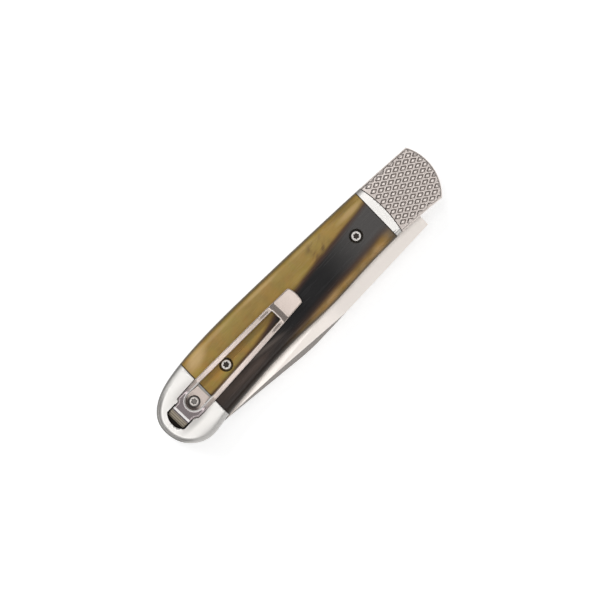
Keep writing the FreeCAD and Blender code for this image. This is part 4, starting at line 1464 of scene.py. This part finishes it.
@dataclass
class KnurledBolsters:
    """The two front bolsters: raised diamonds in columns half a row apart in turn, with rows that slant."""

    shop: PaintShop
    crown: Crown = Crown()
    finish: SteelFinish = SteelFinish(
        "knurled_steel", display(246, 236, 229), display(224, 213, 207), Lay.BLASTED,
        # Painted shade: greys on the walls and in the valleys
        sunk=display(170, 160, 155), wall=display(118, 111, 107), wall_span=(0.0045, 0.0038),
    )
    spacing: float = 0.00011
    ring_insets: tuple[float, ...] = (0.00005, 0.00012, 0.00021, 0.00032, 0.00045, 0.0006)
    ring_slack: float = 0.97
    grid_slack: float = 0.6
    seam_centre: Span = (-0.0015, 0.0021)
    seam_radius: float = 0.03604
    seam_slack: float = 0.0002
    seam_fade: float = 2.0
    rim_start: float = 0.3
    foot: Span = (0.0, 0.35)
    shoulder: Span = (0.97, 0.6)
    # How dark the painted shade on the valley floors gets
    floor_dark: float = 0.45
    far_off: float = 10.0
    sharp: float = 60.0
    sizes: dict[str, float] = field(default_factory=lambda: {
        "Face": COVER_FACE, "Rise": 0.00036, "Edge Round": 0.0007, "Rim Fade": 0.0010,
        "Seam Break": 0.00016, "Seam Margin": 0.00075, "First Column": 0.0357, "Column Pitch": 0.00173,
        "Row Pitch": 0.00195, "Row Drop": 0.00009, "Row Slant": 0.0975,
        "Half Length": 0.00138, "Half Width": 0.00088, "Top Share": 0.34,
    })

    def build(self) -> None:
        """Make a bolster for each side and let it stand for its node."""
        points, faces, rim, top = self.plate()
        rule = self.rule()
        for side in Side:
            node = side.node("knurled_bolster")
            mesh = mesh_of(node, points, faces)
            for name, values in (("rim", rim), ("top", top)):
                mesh.attributes.new(name, "FLOAT", "POINT").data.foreach_set("value", values)
            blank = new_object(f"{node}_blank", mesh)
            given = {"Way": float(side.way), "Material": self.shop.paint(self.finish)}
            made = rule.bake(blank, {**self.sizes, **given})
            bpy.data.objects.remove(blank)
            smooth(made, self.sharp)
            seat(new_object(f"{node}_cut", made), "handle", "knurled_steel", node)

    def plate(self) -> tuple[np.ndarray, list[list[int]], np.ndarray, np.ndarray]:
        """Mesh the plain plate finely enough for the diamonds.

        Returns:
            The points, the faces, each point's distance to the handle's edge, and 1 for each top point.
        """
        corners = outer_loop(Side.CLIP.node("knurled_bolster"), MIDDLE + self.crown.inner)
        ends = np.roll(corners, -1, axis=0)
        edge = divided(corners, self.spacing)
        count = len(edge)
        loop = [(number, (number + 1) % count) for number in range(count)]
        plan = [Vector(point) for point in self.layers(edge, corners, ends)]
        verts, _, tops, *_ = delaunay_2d_cdt(plan, loop, [], INSIDE_ONLY, SAME_IN_PLAN)
        flat = np.array([vert[:] for vert in verts])

        seam = np.linalg.norm(corners - self.seam_centre, axis=1) - self.seam_radius < self.seam_slack
        outer = ~(seam & np.roll(seam, -1))
        rim = distance_to(flat, corners[outer], ends[outer])
        below = np.arange(count) + len(flat)
        faces = [list(face) for face in tops]
        faces += [[first, below[first], below[second], second] for first, second in loop]
        faces.append(list(below[::-1]))
        both = np.vstack([flat, flat[:count]])
        points = np.column_stack([both, np.zeros(len(both))])
        top = np.r_[np.ones(len(flat)), np.zeros(count)]
        return points, faces, np.r_[rim, np.zeros(count)], top

    def layers(self, edge: np.ndarray, corners: np.ndarray, ends: np.ndarray) -> np.ndarray:
        """The plan of the plate's points: its edge, rings inside it and a grid.

        Args:
            edge: The points of the edge.
            corners: The outline's corners, where its stretches start.
            ends: Where the stretches end.

        Returns:
            The points, those of the edge first.
        """
        layers = [edge]
        way = np.roll(edge, -1, axis=0) - np.roll(edge, 1, axis=0)
        inward = np.column_stack([-way[:, 1], way[:, 0]]) / np.linalg.norm(way, axis=1)[:, None]
        for inset in self.ring_insets:
            ring = edge + inward * inset
            layers.append(ring[distance_to(ring, corners, ends) > inset * self.ring_slack])
        low, high = corners.min(axis=0), corners.max(axis=0)
        across = np.arange(low[0], high[0], self.spacing)
        rows = enumerate(np.arange(low[1], high[1], self.spacing))
        grid = np.array([(x + self.spacing / 2 * (number % 2), y) for number, y in rows for x in across])
        margin = self.ring_insets[-1] + self.spacing * self.grid_slack
        clear = distance_to(grid, corners, ends) > margin
        layers.append(grid[clear & within(grid, corners)])
        return np.vstack(layers)

    def rule(self) -> GeometryRule:
        """Build the tree that raises the diamonds, crowns the plate, rounds its edges and stores painted shade
        for the valleys and the seam's break.

        Returns:
            The finished rule.
        """
        rule = GeometryRule("raised_diamonds", {"Way": 1.0, **self.sizes})
        size = rule.taken
        x, y, _ = rule.parts(rule.add("GeometryNodeInputPosition").outputs[0])
        rim, top = self.named(rule, "rim"), self.named(rule, "top")
        away = rule.math("MINIMUM", self.diamond(rule, x, y, 0.0), self.diamond(rule, x, y, 1.0))
        stud = rule.between(away, 1.0, size["Top Share"])
        kept = rule.between(rim, rule.times(size["Rim Fade"], self.rim_start), size["Rim Fade"])
        low = rule.less(size["Rise"], rule.times(stud, kept, size["Rise"]))

        off = rule.ratio(rule.less(y, self.crown.middle), self.crown.half)
        square = rule.times(off, off)
        sag = rule.times(square, square, self.crown.fall)
        radius = size["Edge Round"]
        lean = rule.largest(rule.less(radius, rim), 0.0)
        flank = rule.less(rule.times(radius, radius), rule.times(lean, lean))
        fall = rule.less(radius, rule.math("SQRT", rule.largest(flank, 0.0)))
        past_seam = self.past_seam(rule, x, y)
        chamfer = rule.largest(rule.less(size["Seam Break"], past_seam), 0.0)
        above = rule.less(size["Face"], rule.total(rule.total(low, sag), rule.total(fall, chamfer)))

        height = rule.total(self.crown.inner, rule.times(rule.less(above, self.crown.inner), top))
        z = rule.total(MIDDLE, rule.times(height, size["Way"]))
        inputs = {"Geometry": size["Geometry"], "Position": rule.joined(x, y, z)}
        raised = rule.call("GeometryNodeSetPosition", inputs)
        # Painted shade in the valleys between the diamonds and in the seam's break, stored on the mesh
        foot = rule.between(stud, *self.foot, 0.0, 1 - self.floor_dark)
        flank = rule.between(stud, *self.shoulder, -self.floor_dark, 1 - self.floor_dark)
        dark = rule.math("MULTIPLY_ADD", rule.math("MINIMUM", foot, flank), kept, self.floor_dark)
        near_seam = rule.times(size["Seam Break"], self.seam_fade)
        dark = rule.largest(dark, rule.between(past_seam, near_seam, size["Seam Break"]))
        inputs = {"Geometry": raised, "Name": "sunk", "Value": rule.times(dark, top)}
        marked = rule.call("GeometryNodeStoreNamedAttribute", inputs, data_type="FLOAT", domain="POINT")
        turned = rule.math("LESS_THAN", size["Way"], 0.0)
        rule.end(rule.call("GeometryNodeFlipFaces", {"Mesh": marked, "Selection": turned}))
        return rule

    @staticmethod
    def named(rule: GeometryRule, name: str) -> Socket:
        """The value of a named attribute of the plate."""
        return rule.call("GeometryNodeInputNamedAttribute", {"Name": name}, data_type="FLOAT")

    def past_seam(self, rule: GeometryRule, x: object, y: object) -> Socket:
        """How far a place lies past the arc of the collar's seam.

        Args:
            rule: The tree under work.
            x: The place along the knife.
            y: The place across the knife.

        Returns:
            The distance, below 0 on the collar's side.
        """
        along = rule.less(x, self.seam_centre[0])
        up = rule.less(y, self.seam_centre[1])
        square = rule.total(rule.times(along, along), rule.times(up, up))
        return rule.less(rule.math("SQRT", square), self.seam_radius)

    @staticmethod
    def drop(rule: GeometryRule, x: object) -> Socket:
        """How far the slanted rows have come down at a place along the knife."""
        forward = rule.less(x, rule.taken["First Column"])
        return rule.math("MULTIPLY_ADD", forward, rule.taken["Row Slant"], rule.taken["Row Drop"])

    def diamond(self, rule: GeometryRule, x: object, y: object, odd: float) -> Socket:
        """The distance to the nearest diamond of the even or the odd columns.

        Args:
            rule: The tree under work.
            x: The place along the knife.
            y: The place across the knife.
            odd: 0 for the even columns and 1 for the odd ones.

        Returns:
            The distance, where 1 is the diamond's foot, or a large one where no diamond stands.
        """
        size = rule.taken
        column = rule.ratio(rule.less(x, size["First Column"]), size["Column Pitch"])
        pair = rule.math("ROUND", rule.ratio(rule.less(column, odd), 2.0))
        column = rule.total(rule.times(pair, 2.0), odd)
        middle_x = rule.math("MULTIPLY_ADD", column, size["Column Pitch"], size["First Column"])
        slanted = rule.total(y, self.drop(rule, x))
        row = rule.math("ROUND", rule.less(rule.ratio(slanted, size["Row Pitch"]), odd / 2))
        level = rule.times(rule.total(row, odd / 2), size["Row Pitch"])
        middle_y = rule.less(level, self.drop(rule, middle_x))
        along = rule.ratio(rule.apart(x, middle_x), size["Half Length"])
        up = rule.ratio(rule.apart(slanted, level), size["Half Width"])
        missing = rule.math("LESS_THAN", self.past_seam(rule, middle_x, middle_y), size["Seam Margin"])
        return rule.math("MULTIPLY_ADD", missing, self.far_off, rule.total(along, up))


@dataclass(frozen=True)
class ScrewShape:
    """A screw with a lobed socket, standing on Z with the middle of its head's top at the origin."""

    name: str
    head_radius: float
    head_height: float
    flat_radius: float
    dome: float
    shank_radius: float
    length: float = 0.004
    socket_radius: float = 0.0008
    socket_depth: float = 0.0007
    socket_break: float = 0.00012
    # How dark the painted shade gets in the socket, on its brow and on the head's flank
    socket_tone: float = 1.0
    brow_share: float = 0.4
    flank_tone: float = 0.0
    lobes: int = 6
    lobe_share: float = 0.24
    spokes: int = 96
    dome_steps: int = 8
    sharp: float = 40.0

    def rings(self) -> list[tuple[float, float, float, float]]:
        """The screw's profile, from its foot to the socket's floor.

        Returns:
            Each ring's radius, its height, 1 where it is lobed, and how dark its painted shade is.
        """
        rings = [
            (self.shank_radius, -self.length, 0.0, 0.0),
            (self.shank_radius, -self.head_height, 0.0, 0.0),
            (self.head_radius, -self.head_height, 0.0, 0.0),
        ]
        for step in range(self.dome_steps + 1):
            turn = math.pi / 2 * step / self.dome_steps
            radius = self.flat_radius + (self.head_radius - self.flat_radius) * math.cos(turn)
            tone = self.flank_tone * math.sqrt(abs(math.cos(turn)))
            rings.append((radius, -self.dome * (1 - math.sin(turn)), 0.0, tone))
        return rings + [
            (self.socket_radius + self.socket_break, 0.0, 1.0, 0.0),
            (self.socket_radius, -self.socket_break, 1.0, self.socket_tone * self.brow_share),
            (self.socket_radius, -self.socket_depth / 2, 1.0, self.socket_tone),
            (self.socket_radius, -self.socket_depth, 1.0, self.socket_tone),
        ]

    def build(self) -> bpy.types.Object:
        """Turn the screw from its profile.

        Returns:
            The screw, with an attribute that holds how dark its painted shade is.
        """
        rings = self.rings()
        angles = np.linspace(0.0, 2 * math.pi, self.spokes, endpoint=False)
        wave = 1 - self.lobe_share * (0.5 + 0.5 * np.cos(self.lobes * angles))
        rows = []
        for radius, height, lobed, _ in rings:
            reach = radius * (1 + lobed * (wave - 1))
            level = np.full(self.spokes, height)
            rows.append(np.column_stack([reach * np.cos(angles), reach * np.sin(angles), level]))
        points = np.vstack(rows + [[(0.0, 0.0, -self.length), (0.0, 0.0, -self.socket_depth)]])
        sunk = np.r_[np.repeat([ring[3] for ring in rings], self.spokes), 0.0, self.socket_tone]
        foot, floor = len(points) - 2, len(points) - 1
        last = (len(rings) - 1) * self.spokes
        faces = []
        for first in range(self.spokes):
            second = (first + 1) % self.spokes
            faces.append([foot, second, first])
            faces.append([last + first, last + second, floor])
            for low in range(0, last, self.spokes):
                high = low + self.spokes
                faces.append([low + first, low + second, high + second, high + first])
        mesh = mesh_of(self.name, points, faces)
        mesh.attributes.new("sunk", "FLOAT", "POINT").data.foreach_set("value", sunk)
        smooth(mesh, self.sharp)
        return new_object(self.name, mesh)


@dataclass
class Screws:
    """The clip's screw and the scales' screws, set on the places of their nodes' pieces."""

    shop: PaintShop
    bright: SteelFinish = SteelFinish(
        "screw_steel", display(232, 228, 223), display(176, 171, 167), Lay.BLASTED, sunk=display(66, 60, 57)
    )
    dull: SteelFinish = SteelFinish(
        "clip_screw_steel", display(236, 230, 224), display(184, 177, 172), Lay.BLASTED,
        sunk=display(52, 46, 43),
    )
    head: ScrewShape = ScrewShape("scale_screw", 0.001475, 0.0012, 0.00118, 0.00025, 0.001)
    # The button's flank and socket take painted shade
    button: ScrewShape = ScrewShape(
        "clip_button", 0.00175, 0.00085, 0.00103, 0.0006, 0.0012, socket_tone=0.72, flank_tone=1.0
    )
    spin: float = 0.4

    def build(self) -> None:
        """Set the screws of each node."""
        rule = self.rule()
        self.place(rule, self.button, self.dull, "clip_screw", 1)
        for side in Side:
            self.place(rule, self.head, self.bright, side.node("scale_screws"), side.way)

    def rule(self) -> GeometryRule:
        """Build the tree that sets a screw on each point, head up or head down.

        Returns:
            The finished rule.
        """
        sizes = {"Tip Over": 0.0, "Spin": self.spin}
        rule = GeometryRule("set_screws", sizes, {"Screw": "NodeSocketObject"})
        screw = rule.call("GeometryNodeObjectInfo", {"Object": rule.taken["Screw"]}, "Geometry")
        number = rule.add("GeometryNodeInputIndex").outputs[0]
        angles = rule.joined(rule.taken["Tip Over"], 0.0, rule.times(number, rule.taken["Spin"]))
        turn = rule.call("FunctionNodeEulerToRotation", {"Euler": angles})
        inputs = {"Points": rule.taken["Geometry"], "Instance": screw, "Rotation": turn}
        rule.end(rule.call("GeometryNodeInstanceOnPoints", inputs))
        return rule

    def place(self, rule: GeometryRule, shape: ScrewShape, finish: SteelFinish, node: str, way: int) -> None:
        """Set the screws of one node and let them stand for it.

        Args:
            rule: The tree that sets screws.
            shape: The screw.
            finish: The screw's finish.
            node: The node whose pieces give the places.
            way: 1 where the heads are up, and -1 where they are down.
        """
        places = []
        for points in stations(node):
            low, high = points.min(axis=0), points.max(axis=0)
            middle = (low + high) / 2
            places.append((middle[0], middle[1], high[2] if way > 0 else low[2]))
        screw = replace(shape, length=high[2] - low[2]).build()
        blank = new_object(f"{node}_places", mesh_of(f"{node}_places", np.array(places), []))
        tip_over = 0.0 if way > 0 else math.pi
        given = {"Screw": screw, "Tip Over": tip_over, "Material": self.shop.paint(finish)}
        made = rule.bake(blank, given)
        for used in (blank, screw):
            bpy.data.objects.remove(used)
        seat(new_object(f"{node}_turned", made), "handle", "screw_steel", node)


@dataclass
class PocketClip:
    """The pocket clip, as its node gives it."""

    shop: PaintShop
    finish: ClipFinish = ClipFinish(
        "clip_satin", display(222, 208, 199), display(186, 172, 165), Lay.BLASTED, roughness=(0.09, 0.14),
        eased=0.0005, turn=CLIP_TURN, marks_share=0.12,
    )

    def build(self) -> None:
        """Dress the clip."""
        self.shop.dress("pocket_clip", self.finish)


@dataclass
class Blade:
    """The blade, as its node gives it."""

    shop: PaintShop
    finish: BladeFinish = BladeFinish(
        "blade_ground", display(253, 245, 238), display(234, 225, 218), Lay.ACROSS, roughness=(0.30, 0.325),
        density=1500.0, depth=1e-6, marks_share=0.10,
    )

    def build(self) -> None:
        """Dress the blade."""
        self.shop.dress("blade", self.finish)


@dataclass
class SpringAndLiners:
    """What lies between the covers: spring, liners, washers, pins and hidden screws."""

    shop: PaintShop
    spring: SteelFinish = SteelFinish(
        "spring_brushed", display(212, 208, 203), display(158, 154, 150), Lay.ALONG
    )
    # The clip side's liner takes painted shade under the clip's slot
    liner: SteelFinish = SteelFinish(
        "liner_brushed", display(184, 179, 174), display(126, 122, 118), Lay.ALONG, slot=Slot()
    )
    pin: SteelFinish = SteelFinish("pin_steel", display(210, 206, 202), display(150, 147, 144), Lay.BLASTED)
    bronze: SteelFinish = SteelFinish(
        "washer_bronze", display(204, 152, 92), display(140, 96, 54), Lay.BLASTED
    )

    def build(self) -> None:
        """Dress each of them."""
        self.shop.dress("backspring", self.spring)
        for node in ("pivot_pin", "spring_centre_pin", "rear_barrel"):
            self.shop.dress(node, self.pin)
        plain = replace(self.liner, name="liner_plain", slot=None)
        for side in Side:
            liner = self.liner if side is Side.CLIP else plain
            for piece, finish in (("liner", liner), ("washer", self.bronze), ("bolster_screws", self.pin)):
                self.shop.dress(side.node(piece), finish)


@dataclass(frozen=True)
class Lamp:
    """A soft box that faces the knife."""

    name: str
    place: Place
    size: Span
    watts: float
    mirrored: bool = True

    def build(self) -> None:
        """Hang the lamp, which polished faces mirror or not."""
        light = bpy.data.lights.new(self.name, "AREA")
        light.shape = "RECTANGLE"
        light.size, light.size_y = self.size
        light.energy = self.watts
        made = bpy.data.objects.new(self.name, light)
        made.location = self.place
        made.visible_glossy = self.mirrored
        made.rotation_euler = (-Vector(self.place)).to_track_quat("-Z", "Y").to_euler()
        bpy.context.scene.collection.objects.link(made)


@dataclass(frozen=True)
class Studio:
    """The floor, the light and the camera of the photograph."""

    floor_half: float = 2.5
    floor_drop: float = 5e-5
    floor_colour: Colour = (0.70, 0.70, 0.70, 1.0)
    floor_glow: float = 0.58
    sky_stops: tuple[Span, ...] = (
        (0.20, 0.24), (0.64, 0.22), (0.80, 0.25), (0.88, 1.42), (0.95, 1.62), (0.975, 1.36), (0.988, 0.42),
        (1.0, 0.26),
    )
    sky_towards: Place = (0.0, -0.06, 1.0)
    picture_span: float = 0.16675
    picture_centre: Span = (0.00003, 0.00026)
    picture_plane: float = 0.0108
    picture_turn: float = -44.0
    camera_height: float = 1.6
    sensor_width: float = 36.0
    lamps: tuple[Lamp, ...] = (
        Lamp("back_strip", (0.06, 0.75, 0.78), (0.9, 0.24), 6.0, mirrored=False),
        Lamp("belly_strip", (-0.10, -1.20, 0.34), (1.2, 0.34), 1.3),
    )

    def build(self) -> None:
        """Set up the studio."""
        self.build_floor()
        self.build_sky()
        for lamp in self.lamps:
            lamp.build()
        self.build_camera()

    def build_floor(self) -> None:
        """Lay the pale floor, which shows white to the camera and to reflections and keeps the shadow."""
        half = self.floor_half
        corners = np.array([(-half, -half), (half, -half), (half, half), (-half, half)])
        points = np.column_stack([corners, np.full(len(corners), -self.floor_drop)])
        floor = new_object("floor", mesh_of("floor", points, [range(len(corners))]))
        material = bpy.data.materials.new("floor_paper")
        material.use_nodes = True
        layer = NodeLayer(material.node_tree)
        layer.tree.nodes.clear()
        rays = layer.add("ShaderNodeLightPath").outputs
        seen = layer.largest(rays["Is Camera Ray"], rays["Is Glossy Ray"], rays["Is Transmission Ray"])
        paper = layer.call("ShaderNodeBsdfDiffuse", {"Color": self.floor_colour})
        shine = layer.call("ShaderNodeEmission", {"Strength": layer.times(seen, self.floor_glow)})
        both = layer.call("ShaderNodeAddShader", {0: paper, 1: shine})
        layer.feed(layer.add("ShaderNodeOutputMaterial").inputs["Surface"], both)
        floor.data.materials.append(material)

    def build_sky(self) -> None:
        """Light the set from all round, brightest in a wide ring about the camera's opening."""
        world = bpy.data.worlds.new("soft_tent")
        bpy.context.scene.world = world
        world.use_nodes = True
        layer = NodeLayer(world.node_tree)
        layer.tree.nodes.clear()
        way = layer.add("ShaderNodeTexCoord").outputs["Generated"]
        towards = tuple(Vector(self.sky_towards).normalized())
        rise = layer.vector("DOT_PRODUCT", way, towards)
        shine = layer.call("ShaderNodeBackground", {"Color": layer.ramp(rise, self.sky_stops)})
        layer.feed(layer.add("ShaderNodeOutputWorld").inputs["Surface"], shine)

    def build_camera(self) -> None:
        """Look straight down on the knife, turned as the photograph is."""
        data = bpy.data.cameras.new("camera")
        data.sensor_width = self.sensor_width
        data.lens = self.sensor_width * self.camera_height / self.picture_span
        camera = bpy.data.objects.new("camera", data)
        camera.location = (*self.picture_centre, self.picture_plane + self.camera_height)
        camera.rotation_euler = (0.0, 0.0, math.radians(self.picture_turn))
        bpy.context.scene.collection.objects.link(camera)
        bpy.context.scene.camera = camera
        bpy.context.scene.view_settings.view_transform = "Standard"


def main() -> None:
    """Build the studio and the knife's pieces in order, and report each one."""
    logging.basicConfig(level=logging.INFO, format="%(message)s")
    Studio().build()
    shop = PaintShop()
    for assembly in (HornScales, SmoothBolsters, KnurledBolsters, Screws, PocketClip, Blade, SpringAndLiners):
        assembly(shop).build()


if __name__ == "__main__":
    main()
